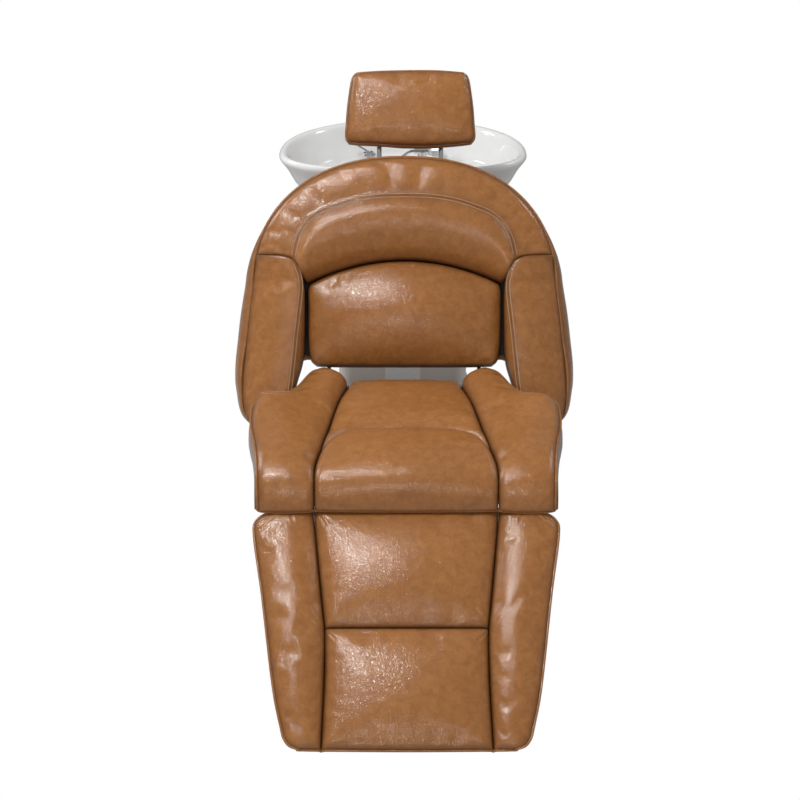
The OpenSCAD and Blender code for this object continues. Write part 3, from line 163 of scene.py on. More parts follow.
def leatherMaterial(name, shade=1.0):
    g = leatherSettings
    material, tree, surface = newMaterial(name)
    # seam is the painted shade colour for seams, borders and skirts
    colour, dark, light, seam = (tuple(c * shade for c in g[key]) + (1,)
                                 for key in ("colour", "dark", "light", "seamColour"))
    cloud, mottle, fleck, crease, soft = (noiseOf(tree, *g[key])
                                          for key in ("cloud", "mottle", "fleck", "crease", "soft"))
    pulls = tree.nodes.new("ShaderNodeSeparateXYZ")
    tree.links.new(attributeOf(tree, "pull"), pulls.inputs[0])
    across, along, seams = pulls.outputs

    base = mixOf(tree, rangeOf(tree, mottle, *g["mottleRange"], 0, 1), dark, light)
    base = mixOf(tree, g["evenShare"], base, colour)
    base = mixOf(tree, rangeOf(tree, cloud, *g["cloudRange"], 0, g["cloudShare"]), base, dark)
    base = mixOf(tree, rangeOf(tree, fleck, *g["fleckRange"], g["fleckShare"], 0), base, dark)
    # Painted shade: the leather darkens towards near-black at seams and borders and on skirts and undersides
    base = mixOf(tree, product(tree, seams, g["seamShare"]), base, seam)
    tree.links.new(base, surface.inputs["Base Color"])
    tree.links.new(rangeOf(tree, mottle, *g["roughRange"], *g["roughness"]), surface.inputs["Roughness"])
    surface.inputs["Specular IOR Level"].default_value = g["specular"]
    surface.inputs["Coat Weight"].default_value = g["coat"]
    surface.inputs["Coat Roughness"].default_value = g["coatRoughness"]

    cell = tree.nodes.new("ShaderNodeTexVoronoi")
    cell.feature = "DISTANCE_TO_EDGE"
    cell.inputs["Scale"].default_value = g["grainScale"]
    tree.links.new(objectPlace(tree), cell.inputs["Vector"])
    grain = rangeOf(tree, cell.outputs["Distance"], 0, g["grainEdge"], 0, 1)
    plan = attributeOf(tree, "plan")
    swell = bumpOf(tree, soft, g["softBump"])
    for share, stretch in ((across, g["pullAcross"]), (along, g["pullAlong"])):
        pulled = noiseOf(tree, *g["pull"], stretch, plan)
        swell = bumpOf(tree, product(tree, pulled, share), g["pullBump"], swell)
    worn = bumpOf(tree, crease, g["creaseBump"], swell)
    tree.links.new(bumpOf(tree, grain, g["grainBump"], worn), surface.inputs["Normal"])
    coat = bumpOf(tree, crease, g["coatCrease"], swell)
    tree.links.new(bumpOf(tree, grain, g["coatGrain"], coat), surface.inputs["Coat Normal"])
    return material


leather = leatherMaterial("leather")
# A darker copy of the same leather for the back's shell and rear panel, painted shade on those sides
leatherSide = leatherMaterial("leatherSide", 0.86)
pipingLeather = leatherMaterial("pipingLeather", 0.92)

# Other finishes: colour, roughness, metal, coat, depth and scale of the grain, spread of the colour
finishSettings = {"ceramic": ((0.80, 0.80, 0.79), 0.10, 0, 0.6, 0.03, 14, 0.012),
                  "chrome": ((0.78, 0.79, 0.80), 0.07, 1.0, 0, 0, 80, 0.02),
                  "brushedPlate": ((0.97, 0.955, 0.94), 0.34, 0.10, 0, 0.05, 300, 0.05),
                  "greyPaint": ((0.74, 0.685, 0.64), 0.38, 0, 0.2, 0.05, 420, 0.03),
                  "darkSteel": ((0.030, 0.030, 0.032), 0.52, 0, 0, 0.10, 500, 0.10),
                  "plywood": ((0.42, 0.28, 0.15), 0.62, 0, 0, 0.08, 24, 0.22),
                  "blackPlastic": ((0.016, 0.016, 0.018), 0.42, 0, 0, 0.06, 600, 0.08),
                  "whitePlastic": ((0.72, 0.72, 0.70), 0.30, 0, 0.1, 0.03, 120, 0.02),
                  "blackRubber": ((0.020, 0.020, 0.021), 0.58, 0, 0, 0.08, 300, 0.10),
                  "greyHose": ((0.42, 0.42, 0.43), 0.40, 0, 0, 0.05, 90, 0.05),
                  "threadPale": ((0.60, 0.42, 0.27), 0.60, 0, 0, 0.2, 900, 0.15)}
plainSettings = {"noiseRange": (0.3, 0.7), "roughSpread": 0.12, "coatRoughness": 0.08, "grainDistance": 0.0006}
steelSettings = {"colour": (0.55, 0.55, 0.56), "dark": 0.9, "roughness": 0.30, "spread": 0.2,
                 "noise": (30, 4, 0.5), "stretch": (1, 1, 60), "bump": (0.12, 0.0003)}


def plainMaterial(name, colour, rough, metal, coat, grain, grainScale, spread):
    g = plainSettings
    material, tree, surface = newMaterial(name)
    noise = noiseOf(tree, grainScale)
    dark = tuple(c * (1 - spread) for c in colour) + (1,)
    light = tuple(min(1, c * (1 + spread)) for c in colour) + (1,)
    tree.links.new(mixOf(tree, noise, dark, light), surface.inputs["Base Color"])
    low, high = rough * (1 - g["roughSpread"]), rough * (1 + g["roughSpread"])
    tree.links.new(rangeOf(tree, noise, *g["noiseRange"], low, high), surface.inputs["Roughness"])
    surface.inputs["Metallic"].default_value = metal
    surface.inputs["Coat Weight"].default_value = coat
    surface.inputs["Coat Roughness"].default_value = g["coatRoughness"]
    if grain:
        tree.links.new(bumpOf(tree, noise, (grain, g["grainDistance"])), surface.inputs["Normal"])
    return material


def steelMaterial(name):
    g = steelSettings
    material, tree, surface = newMaterial(name)
    noise = noiseOf(tree, *g["noise"], stretch=g["stretch"])
    dark = tuple(c * g["dark"] for c in g["colour"]) + (1,)
    tree.links.new(mixOf(tree, noise, dark, g["colour"] + (1,)), surface.inputs["Base Color"])
    low, high = g["roughness"] * (1 - g["spread"]), g["roughness"] * (1 + g["spread"])
    tree.links.new(rangeOf(tree, noise, *plainSettings["noiseRange"], low, high), surface.inputs["Roughness"])
    tree.links.new(bumpOf(tree, noise, g["bump"]), surface.inputs["Normal"])
    surface.inputs["Metallic"].default_value = 1.0
    return material


finishes = {name: plainMaterial(name, *values) for name, values in finishSettings.items()}
finishes["steel"] = steelMaterial("steel")
finishes["leather"] = leather
print("materials made")


# Lines

def share(value):
    return np.clip(value, 0, 1)


# From 0 at the start to 1; the length is negative where it rises backwards
def ramp(value, start, length):
    return share((value - start) / length)


def eased(value):
    return value * value * (3 - 2 * value)


def gauss(distance, width):
    return np.exp(-(distance / width) ** 2)


def runLength(line):
    return np.concatenate([[0], np.cumsum(np.linalg.norm(np.diff(line, axis=0), axis=1))])


def atLength(line, want):
    length = runLength(line)
    return np.stack([np.interp(want, length, line[:, k]) for k in range(line.shape[1])], -1)


# A smooth curve through the points, read at shares of its length
def smoothLine(points, shares, perStretch=24):
    p = np.asarray(points, float)
    knots = np.concatenate([[0], np.cumsum(np.sqrt(np.linalg.norm(np.diff(p, axis=0), axis=1)))])
    knots = np.concatenate([[-knots[1]], knots, [2 * knots[-1] - knots[-2]]])
    ends = np.vstack([2 * p[0] - p[1], p, 2 * p[-1] - p[-2]])
    dense = []
    for i in range(1, len(p)):
        t0, t1, t2, t3 = knots[i - 1:i + 3]
        q0, q1, q2, q3 = ends[i - 1:i + 3]
        for t in np.linspace(t1, t2, perStretch, endpoint=False):
            a1 = ((t1 - t) * q0 + (t - t0) * q1) / (t1 - t0)
            a2 = ((t2 - t) * q1 + (t - t1) * q2) / (t2 - t1)
            a3 = ((t3 - t) * q2 + (t - t2) * q3) / (t3 - t2)
            b1 = ((t2 - t) * a1 + (t - t0) * a2) / (t2 - t0)
            b2 = ((t3 - t) * a2 + (t - t1) * a3) / (t3 - t1)
            dense.append(((t2 - t) * b1 + (t - t1) * b2) / (t2 - t1))
    dense = np.array(dense + [p[-1]])
    return atLength(dense, np.asarray(shares) * runLength(dense)[-1])


def mirrored(points):
    return [(-x, y) for x, y in points]


def swapped(points):
    return [(second, first) for first, second in points]


# Width or height along a line of (place, value) keys
def across(keys, place):
    line = smoothLine(sorted(keys), np.linspace(0, 1, 600))
    return np.interp(place, line[:, 0], line[:, 1])


def sideways(line):
    d = np.gradient(np.asarray(line, float)[:, :2], axis=0)
    n = np.stack([d[:, 1], -d[:, 0]], -1)
    return n / np.maximum(np.linalg.norm(n, axis=1, keepdims=True), 1e-9)


# Outward directions round a closed outline
def outwardOf(loop, passes=1):
    ahead, behind = np.roll(loop, -1, axis=0), np.roll(loop, 1, axis=0)
    area = np.sum(loop[:, 0] * ahead[:, 1] - ahead[:, 0] * loop[:, 1])
    d = ahead - behind
    n = np.stack([d[:, 1], -d[:, 0]], -1) * np.sign(area)
    n = n / np.maximum(np.linalg.norm(n, axis=1, keepdims=True), 1e-6)
    for _ in range(passes):
        n = (n + np.roll(n, 1, axis=0) + np.roll(n, -1, axis=0)) / 3
        n = n / np.maximum(np.linalg.norm(n, axis=1, keepdims=True), 1e-6)
    return n


# Pad grids, with their rows and columns closer together at the borders

def clustered(n, amount=0.72):
    u = np.linspace(0, 1, n)
    return amount * (0.5 - 0.5 * np.cos(np.pi * u)) + (1 - amount) * u


def fourSided(low, high, left, right, grid):
    s, t = clustered(grid[0]), clustered(grid[1])
    b, u = smoothLine(low, s), smoothLine(high, s)
    l, r = smoothLine(left, t), smoothLine(right, t)
    s, t = s[None, :, None], t[:, None, None]
    flat = (1 - t) * b[None] + t * u[None] + (1 - s) * l[:, None] + s * r[:, None]
    return flat - ((1 - s) * (1 - t) * b[0] + s * (1 - t) * b[-1] + (1 - s) * t * u[0] + s * t * u[-1])


# Distances from the left, right, low and high borders
def edgeDistances(plan):
    row = np.linalg.norm(np.diff(plan, axis=1), axis=2)
    col = np.linalg.norm(np.diff(plan, axis=0), axis=2)
    left = np.concatenate([np.zeros((plan.shape[0], 1)), np.cumsum(row, axis=1)], axis=1)
    low = np.concatenate([np.zeros((1, plan.shape[1])), np.cumsum(col, axis=0)], axis=0)
    return left, left[:, -1:] - left, low, low[-1:] - low


def planShares(plan):
    left, right, low, high = edgeDistances(plan)
    return left / (left + right), low / (low + high)


def domeOf(plan, power):
    u, v = planShares(plan)
    return (np.sin(np.pi * u) * np.sin(np.pi * v)) ** power, u


# Rounded borders: a depth and a radius for each of the four sides
def dropped(plan, drops):
    total = 0
    for distance, (depth, radius) in zip(edgeDistances(plan), drops):
        q = 1 - share(distance / radius)
        total = total + (depth * (1 - np.sqrt(share(1 - q * q)))) ** 2
    return np.sqrt(total)


# Short wrinkles: start, end, depth and width of each. They fade over a quarter of their length at both ends
def folds(plan, lines, fade=0.25):
    total = np.zeros(plan.shape[:2])
    for start, end, depth, width in lines:
        along = np.subtract(end, start).astype(float)
        long = np.linalg.norm(along)
        along /= long
        rel = plan - np.array(start)
        t = rel @ along / long
        side = (rel[..., 0] * along[1] - rel[..., 1] * along[0]) / width
        total += depth * (2 * side ** 2 - 1) * np.exp(-side ** 2) * share(t / fade) * share((1 - t) / fade)
    return total


def borderIndex(shape):
    rows, cols = shape[:2]
    return np.concatenate([np.arange(cols), np.arange(1, rows) * cols + cols - 1,
                           (rows - 1) * cols + np.arange(cols - 2, -1, -1), np.arange(rows - 2, 0, -1) * cols])


def borderOf(points):
    return points.reshape(-1, points.shape[-1])[borderIndex(points.shape)]


# Meshes

def shapeTo(verts, points):
    for vert, point in zip(verts, np.asarray(points).reshape(-1, 3) * metre):
        vert.co = point
    return verts


# A grid bent to rows of points; a ring's columns and a loop's rows come round to where they start
def patch(bm, points, ring=False, loop=False):
    if ring:
        points = np.concatenate([points, points[:, :1]], axis=1)
    if loop:
        points = np.concatenate([points, points[:1]])
    rows, cols = points.shape[:2]
    made = bmesh.ops.create_grid(bm, x_segments=cols - 1, y_segments=rows - 1, size=1)
    return shapeTo(made["verts"], points)


# The closed row of vertices is extruded once and the new row is set at the points
def grown(bm, loop, points):
    edges = [bm.edges.get(pair) for pair in zip(loop, loop[1:] + loop[:1])]
    made = set(bmesh.ops.extrude_edge_only(bm, edges=edges)["geom"])
    fresh = [next(e.other_vert(v) for e in v.link_edges if e.other_vert(v) in made) for v in loop]
    return shapeTo(fresh, points)


def finished(name, bm, material, smooth=True, merge=True):
    if merge:
        bmesh.ops.remove_doubles(bm, verts=bm.verts, dist=0.00002)
    bmesh.ops.recalc_face_normals(bm, faces=bm.faces)
    for face in bm.faces:
        face.smooth = smooth
    mesh = bpy.data.meshes.new(name)
    bm.to_mesh(mesh)
    bm.free()
    mesh.materials.append(material)
    obj = bpy.data.objects.new(name, mesh)
    bpy.context.scene.collection.objects.link(obj)
    return obj


def boardPiece(name, outline, low, high, material, smooth):
    bm = bmesh.new()
    verts = bmesh.ops.create_circle(bm, cap_ends=True, segments=len(outline), radius=1)["verts"]
    levels = [onBack(np.column_stack([outline, np.full(len(outline), z)])) for z in (low, high)]
    shapeTo(verts, levels[0])
    made = bmesh.ops.extrude_face_region(bm, geom=bm.faces[:], use_keep_orig=True)["geom"]
    rise = Vector((levels[1][0] - levels[0][0]) * metre)
    bmesh.ops.translate(bm, verts=[v for v in made if isinstance(v, bmesh.types.BMVert)], vec=rise)
    return finished(name, bm, material, smooth)


# The seam reach is how far painted shade spreads from a seam or border; restShade is the painted shade on the
# skirt and underside
padSettings = {"skirtRows": 6, "pullReach": 26, "pullStart": 4, "seamReach": 5, "sewnClear": 2,
               "restShade": 0.5}
padGrids = {}


# A cushion: its crowned top, a skirt down to the board, and an underside that closes in one point
def padPiece(name, top, plan, outward, floorAt, place, tuck=2, bulge=0, sewn=None, footLow=None):
    g = padSettings
    edge = borderOf(top)
    foot = edge.copy()
    foot[:, :2] -= outward * tuck
    if footLow is not None:
        foot[:, 1] = np.maximum(foot[:, 1], footLow)
    foot[:, 2] = floorAt
    bm = bmesh.new()
    verts = patch(bm, place(top))
    loop = [verts[i] for i in borderIndex(top.shape)]
    for v in np.arange(1, g["skirtRows"] + 1) / g["skirtRows"]:
        ring = edge * (1 - v) + foot * v
        ring[:, :2] += outward * (np.asarray(bulge) * math.sin(math.pi * v))[..., None]
        loop = grown(bm, loop, place(ring))
    middle = place(foot.mean(0))
    loop = grown(bm, loop, np.tile(middle, (len(loop), 1)))
    bmesh.ops.pointmerge(bm, verts=loop, merge_co=Vector(middle * metre))
    obj = finished(name, bm, leather, merge=False)

    # How hard the leather is pulled across and along, and how much painted shade darkens it near seams and
    # borders, for the material
    left, right, low, high = edgeDistances(plan)
    sewn = np.full(plan.shape[:2], 99.0) if sewn is None else np.abs(sewn)
    sides, ends = np.minimum(left, right), np.minimum(low, high)
    near = np.minimum(np.minimum(sides, ends), sewn + g["sewnClear"])
    pulls = [gauss(d, g["pullReach"]) * (1 - gauss(d, g["pullStart"])) for d in (sides, ends)]
    pull = np.stack(pulls + [np.exp(-near / g["seamReach"])], -1)
    where = np.concatenate([plan, np.zeros(plan.shape[:2] + (1,))], -1) * metre
    extra = len(obj.data.vertices) - near.size
    for label, values, rest in (("pull", pull, (0, 0, g["restShade"])), ("plan", where, (0, 0, 0))):
        layer = obj.data.attributes.new(label, "FLOAT_VECTOR", "POINT")
        values = np.vstack([values.reshape(-1, 3), np.tile(rest, (extra, 1))])
        layer.data.foreach_set("vector", values.astype(np.float32).reshape(-1))
    padGrids[name] = (top.shape[:2], np.minimum(near, sewn))
    return obj


def flatPad(name, plan, heights, drops, floorAt, place, sign=1, **more):
    top = np.concatenate([plan, (heights - dropped(plan, drops))[..., None]], -1)
    out = outwardOf(borderOf(plan))
    top[..., 0] *= sign
    out[:, 0] *= sign
    return padPiece(name, top, plan, out, floorAt, place, **more), top


# Seat: paths along the middle and along a bolster, from the low rear edge over the top and down the front

class Path:
    def __init__(self, points, samples=900, window=41):
        self.line = smoothLine(points, np.linspace(0, 1, samples))
        d = np.gradient(self.line, axis=0)
        d /= np.linalg.norm(d, axis=1, keepdims=True)
        normal = np.pad(np.stack([d[:, 1], -d[:, 0]], -1), ((window // 2, window // 2), (0, 0)), mode="edge")
        kernel = np.ones(window) / window
        normal = np.stack([np.convolve(normal[:, k], kernel, mode="valid") for k in range(2)], -1)
        self.normal = normal / np.linalg.norm(normal, axis=1, keepdims=True)
        self.run = runLength(self.line)

    def at(self, run, height):
        read = lambda values: [np.interp(run, self.run, values[:, k]) for k in range(2)]
        return [place + height * way for place, way in zip(read(self.line), read(self.normal))]

    def plan(self, run):
        return np.interp(run, self.run, self.line[:, 0])


frontEdge = [(-196, 449), (-215, 428), (-223, 408), (-225, 394), (-224, 386)]
midPath = Path([(245, 398), (246, 418), (243, 436), (231, 449), (208, 455), (150, 461), (60, 463), (0, 463),
                (-60, 466), (-120, 466), (-165, 461)] + frontEdge)
sidePath = Path([(290, 398), (292, 420), (291, 444), (283, 458), (262, 464), (226, 466), (150, 467), (60, 468),
                 (0, 468), (-60, 469), (-120, 468), (-165, 462)] + frontEdge)
seamKeys = [(-226, 186), (-164, 185), (-35, 167), (115, 146), (224, 124), (246, 131)]
tipKeys = seamKeys[:4] + [(214, 127), (238, 131), (260, 145), (278, 155), (290, 163)]
earKeys = [(-226, 299), (-160, 303), (-100, 311), (-45, 321), (-10, 324), (14, 324), (34, 322), (52, 316),
           (66, 306), (80, 293), (100, 271), (120, 253), (140, 241), (165, 230), (200, 219), (240, 208),
           (264, 200), (280, 191), (290, 180)]
seatSettings = {"grid": (78, 150), "seamGap": 0.3, "underside": 393.5, "tuck": 3.0, "fill": 0.85, "puff": 5,
                "lift": 2, "crown": 5, "crownPower": 0.7, "frontLift": 2.5, "frontCrown": 7, "frontAt": -26,
                "frontFade": 6, "bodyFront": (-235, 40), "bodyRear": (262, -30), "noseFront": (-230, 60),
                "onTop": (-205, 60), "side": (7, 8, 5), "sideRear": (60, 120), "sideRadius": (14, 10),
                "endDrops": [(3, 6), (3, 8)], "channel": (11, 10), "hollow": (4, 30), "channelAt": 13,
                "channelBow": 9, "bowHalf": 117, "bowPower": 5.7}
bolsterSettings = {"grid": (60, 150), "fill": 0.8, "puff": 4, "lift": 3, "slope": 8, "roll": 9,
                   "rollPower": 0.8, "ear": (18, 30, 95), "earPeak": (12, 52, 42), "earAt": 0.86,
                   "earWidth": 0.55, "rise": (-232, 90), "rear": (292, -90), "tip": (236, 40),
                   "tipLoss": 0.5, "rollRear": 0.65, "rollRise": 0.5, "inner": ((8, 11), (16, 14)),
                   "outer": ((5, 8), (15, 16)), "atEar": (30, 70), "bulge": 9, "bulgeFrom": 30,
                   "bulgeTo": (120, -60)}


def seatPad(name, path, leftOf, rightOf, heightOf, drops, grid, bulgeOf=None, sign=1, sewnOf=None):
    run, s = path.run[-1] * clustered(grid[1], 0.45), clustered(grid[0])
    y = path.plan(run)
    x = leftOf(y)[:, None] * (1 - s) + rightOf(y)[:, None] * s
    plan = np.stack([x, np.repeat(run[:, None], grid[0], 1)], -1)
    yy = np.repeat(y[:, None], grid[0], 1)
    h = heightOf(x, yy, s[None, :]) - dropped(plan, drops(yy))
    top = np.stack([x] + path.at(plan[..., 1], h), -1)
    loop = borderOf(plan)
    out = outwardOf(loop)
    out[:, 1] *= np.interp(loop[:, 1], path.run, np.gradient(path.line[:, 0], path.run))
    top[..., 0] *= sign
    out[:, 0] *= sign
    bulge = 0 if bulgeOf is None else bulgeOf(loop)
    sewn = None if sewnOf is None else sewnOf(x, yy)
    g = seatSettings
    return padPiece(name, top, plan, out, g["underside"], onSeat, g["tuck"], bulge, sewn), top


def channelLine(x, y):
    g = seatSettings
    return y + g["channelAt"] + g["channelBow"] * (np.abs(x) / g["bowHalf"]) ** g["bowPower"]


def seatHeight(x, y, s):
    g = seatSettings
    curve = channelLine(x, y)
    front = 1 / (1 + np.exp(np.clip((y - g["frontAt"]) / g["frontFade"], -40, 40)))
    crown = np.sin(np.pi * share(s)) ** g["crownPower"]
    body = ramp(y, *g["bodyFront"]) * ramp(y, *g["bodyRear"])
    channel = -sum(depth * gauss(curve, width) for depth, width in (g["channel"], g["hollow"]))
    nose = (g["frontLift"] + g["frontCrown"] * crown) * front * ramp(y, *g["noseFront"])
    return g["lift"] + g["crown"] * crown * body + nose + channel


def seatDrops(y):
    g = seatSettings
    onTop = ramp(y, *g["onTop"])
    (depth, more, less), (radius, wider) = g["side"], g["sideRadius"]
    side = (depth + more * onTop - less * ramp(y, *g["sideRear"]), radius + wider * onTop)
    return [side, side] + g["endDrops"]


def bolsterDrops(y):
    g = bolsterSettings
    place, width = g["atEar"]
    onTop, atEar = ramp(y, *seatSettings["onTop"]), gauss(y - place, width)
    sides = (("inner", onTop), ("outer", atEar))
    return [[least + more * part for least, more in g[key]] for key, part in sides] + seatSettings["endDrops"]


def bolsterHeight(x, y, s):
    g = bolsterSettings
    rise, rear, tip = (ramp(y, *g[key]) for key in ("rise", "rear", "tip"))
    ease = eased(s)
    ears = sum(high * gauss(y - place, width) for high, place, width in (g["ear"], g["earPeak"]))
    ears = ears * ease * gauss(s - g["earAt"], g["earWidth"])
    roll = g["roll"] * np.sin(np.pi * share(s)) ** g["rollPower"]
    roll = roll * (1 - g["rollRear"] * (1 - rear)) * (1 - g["rollRise"] * (1 - rise))
    return (g["lift"] + g["slope"] * ease * rear * rise + ears * rise + roll) * (1 - g["tipLoss"] * tip)


def bolsterBulge(loop):
    g = bolsterSettings
    y = sidePath.plan(loop[:, 1])
    outside = loop[:, 0] > across(tipKeys, y) + g["bulgeFrom"]
    return g["bulge"] * outside * ramp(y, *g["bulgeTo"])


seatMiddle, seatTop = seatPad(
    "seat_middle", midPath, lambda y: seatSettings["seamGap"] - across(seamKeys, y),
    lambda y: across(seamKeys, y) - seatSettings["seamGap"], seatHeight, seatDrops, seatSettings["grid"],
    sewnOf=channelLine)
bothSides = (("right", 1), ("left", -1))
bolsters = {}
for side, sign in bothSides:
    bolsters[side] = seatPad(
        "seat_bolster_" + side, sidePath, lambda y: across(tipKeys, y) + seatSettings["seamGap"],
        lambda y: across(earKeys, y), bolsterHeight, bolsterDrops, bolsterSettings["grid"], bolsterBulge, sign)
print("seat shaped")

# Legrest, in its own plane: (place along, half width) keys of the seams and of the outer edge
seamUpper = [(6, 188), (-17, 186), (-80, 179.5), (-187, 168), (-240, 162)]
seamLower = [(-240, 162), (-330, 161), (-482, 165.5)]
legOutside = [(6, 256), (2, 274), (-4, 288), (-12, 299), (-24, 306), (-45, 306), (-166, 287), (-379, 256),
              (-440, 242), (-462, 236), (-476, 225), (-482, 206)]
legSettings = {"grid": (90, 96), "fill": 0.8, "puff": 6, "lift": 20, "domePower": 0.85, "sideDrop": (16, 26),
               "footLow": -466, "foot": -33.5, "footRise": 34, "footOver": (-52, 46), "footPower": 1.5}
legRows = {"leg_upper": {"seam": seamUpper, "low": (-239.7, -239.7), "high": 6, "dome": 20,
                         "drops": [(12, 22), (9, 12)],
                         "folds": [((158, -232), (128, -196), 1.6, 5), ((160, -222), (146, -182), 1.2, 4),
                                   ((-176, -4), (-160, -34), 1.6, 4), ((-170, -2), (-150, -24), 1.2, 3.5),
                                   ((-60, -66), (-42, -48), 0.7, 3)]},
           "leg_lower": {"seam": seamLower, "low": (-482, -483), "high": -240.3, "dome": 15,
                         "drops": [(13, 20), (12, 22)],
                         "folds": [((158, -246), (134, -276), 1.5, 4.5), ((150, -246), (140, -262), 1.0, 3),
                                   ((-158, -246), (-136, -272), 1.2, 4)]}}
legBolsterSettings = {"grid": (56, 170), "fill": 0.8, "puff": 4, "seamGap": 0.3, "lift": 21, "dome": 15,
                      "domePower": 0.7, "domeLoss": 0.35, "lossOver": 482, "slope": 2, "bulge": 3,
                      "bulgeFrom": 200, "bulgeLow": -440, "low": [(186, -482.5), (206, -482)],
                      "high": [(225, 6), (256, 6)], "drops": [(16, 26), (7, 24), (13, 22), (11, 16)],
                      "folds": [((300, -30), (276, -8), 1.6, 4.5), ((304, -44), (262, -6), 1.2, 4),
                                ((176, -236), (196, -214), 1.2, 4), ((174, -222), (190, -196), 0.9, 3.5),
                                ((238, 2), (226, -26), 1.0, 4)]}


def legFoot(y):
    g = legSettings
    return g["foot"] + g["footRise"] * ramp(y, *g["footOver"]) ** g["footPower"]


legs = {}
for name, row in legRows.items():
    right = swapped(row["seam"])[::-1]
    (lowX, _), (highX, _) = right[0], right[-1]
    low = [(-lowX, row["low"][0]), (0, row["low"][1]), (lowX, row["low"][0])]
    high = [(x, row["high"]) for x in (-highX, 0, highX)]
    plan = fourSided(low, high, mirrored(right), right, legSettings["grid"])
    dome, _ = domeOf(plan, legSettings["domePower"])
    heights = legSettings["lift"] + row["dome"] * dome + folds(plan, row["folds"])
    legs[name] = flatPad(name + "_pad_skin", plan, heights, [legSettings["sideDrop"]] * 2 + row["drops"],
                         legFoot(borderOf(plan)[:, 1]), onLeg, footLow=legSettings["footLow"])

g = legBolsterSettings
inside = [(x + g["seamGap"], y) for x, y in swapped(seamLower[::-1] + seamUpper[-2::-1])]
outside = swapped(legOutside)[::-1]
plan = fourSided(inside[:1] + g["low"], inside[-1:] + g["high"], inside, outside, g["grid"])
dome, u = domeOf(plan, g["domePower"])
dome = dome * (1 - g["domeLoss"] * share(-plan[..., 1] / g["lossOver"]))
heights = g["lift"] + g["dome"] * dome + g["slope"] * u + folds(plan, g["folds"])
edge = borderOf(plan)
bulge = g["bulge"] * (edge[:, 0] > g["bulgeFrom"]) * (edge[:, 1] > g["bulgeLow"])
for side, sign in bothSides:
    legs[side] = flatPad("leg_bolster_" + side, plan, heights, g["drops"], legFoot(edge[:, 1]), onLeg, sign,
                         bulge=bulge, footLow=legSettings["footLow"])
print("legrest shaped")

# Back, in its own plane: the outer arch is a rounded one, 342 mm to a side and 299 mm above its shoulders
archSettings = {"half": 342, "rise": 299, "shoulder": 228, "power": 2 / 2.25, "lumbarTop": 292,
                "lumbarCurve": 902}
boardGap = 0.5


def arch(degrees):
    g = archSettings
    a = math.radians(degrees)
    return (g["half"] * math.cos(a) ** g["power"], g["shoulder"] + g["rise"] * math.sin(a) ** g["power"])


def lumbarArc(x):
    return archSettings["lumbarTop"] - x * x / archSettings["lumbarCurve"]


# Upper pad: a roll below the stitched arc and a flatter band beyond it
upperSettings = {"grid": (210, 92), "fill": 0.8, "puff": 3, "tuck": 3, "seamGap": 5,
                 "drops": [(5, 9), (5, 9), (26, 30), (3, 8)], "rollLow": 58, "rollRise": 40, "rollFull": 0.7,
                 "rollPower": 0.8, "rollFall": 10, "rollFallPower": 1.6, "band": 88, "bandStep": 7,
                 "stepOver": 0.12, "bandFall": 3, "edgeFall": 14, "edgePower": 6, "seamDepth": 1.6,
                 "seamWidth": 5, "arcScale": 60, "arcCentre": 250}
upperEnd = [(219, 244), (228, 256), (238, 278), (249, 293), (268, 302), (300, 305), (334, 306)]
outerArch = [upperEnd[-1]] + [arch(a) for a in (20, 27, 35, 44, 54, 64, 74, 82, 90)]
outerArch = mirrored(outerArch)[:-1] + outerArch[::-1]
innerHalf = [(x, lumbarArc(x) + upperSettings["seamGap"]) for x in (0, 50, 100, 150, 190)] + [upperEnd[0]]
innerArch = mirrored(innerHalf)[:0:-1] + innerHalf
stitchedArc = [(253, 284), (248, 306), (240, 340), (224, 372), (198, 397), (160, 414), (112, 429), (60, 437),
               (0, 439)]

g = upperSettings
upperPlan = fourSided(innerArch, outerArch, mirrored(upperEnd), upperEnd, g["grid"])
_, away = planShares(upperPlan)
arc = smoothLine(stitchedArc, np.linspace(0, 1, 200)) - np.array([0, g["arcCentre"]])
fromCentre = upperPlan - np.array([0, g["arcCentre"]])
angle = np.arctan2(fromCentre[..., 1], np.abs(fromCentre[..., 0]))
arcRadius = np.interp(angle, np.arctan2(arc[:, 1], arc[:, 0]), np.linalg.norm(arc, axis=1))
beyond = np.linalg.norm(fromCentre, axis=2) - arcRadius
arcAt = np.array([np.interp(0, beyond[:, j], away[:, j]) for j in range(g["grid"][0])])
toArc, pastArc = away / arcAt, share((away - arcAt) / (1 - arcAt))
rollPart = (g["rollLow"] + g["rollRise"] * np.sin(np.pi / 2 * share(toArc / g["rollFull"])) ** g["rollPower"]
            - g["rollFall"] * share((toArc - g["rollFull"]) / (1 - g["rollFull"])) ** g["rollFallPower"])
bandPart = (g["band"] - g["bandStep"] * (1 - np.exp(-pastArc / g["stepOver"])) - g["bandFall"] * pastArc
            - g["edgeFall"] * pastArc ** g["edgePower"])
fromArc = (toArc - 1) * g["arcScale"]
heights = np.where(toArc < 1, rollPart, bandPart) - g["seamDepth"] * gauss(fromArc, g["seamWidth"])
upperPad, _ = flatPad("upper_back", upperPlan, heights, g["drops"], boardGap, onBack, tuck=g["tuck"],
                      sewn=fromArc)

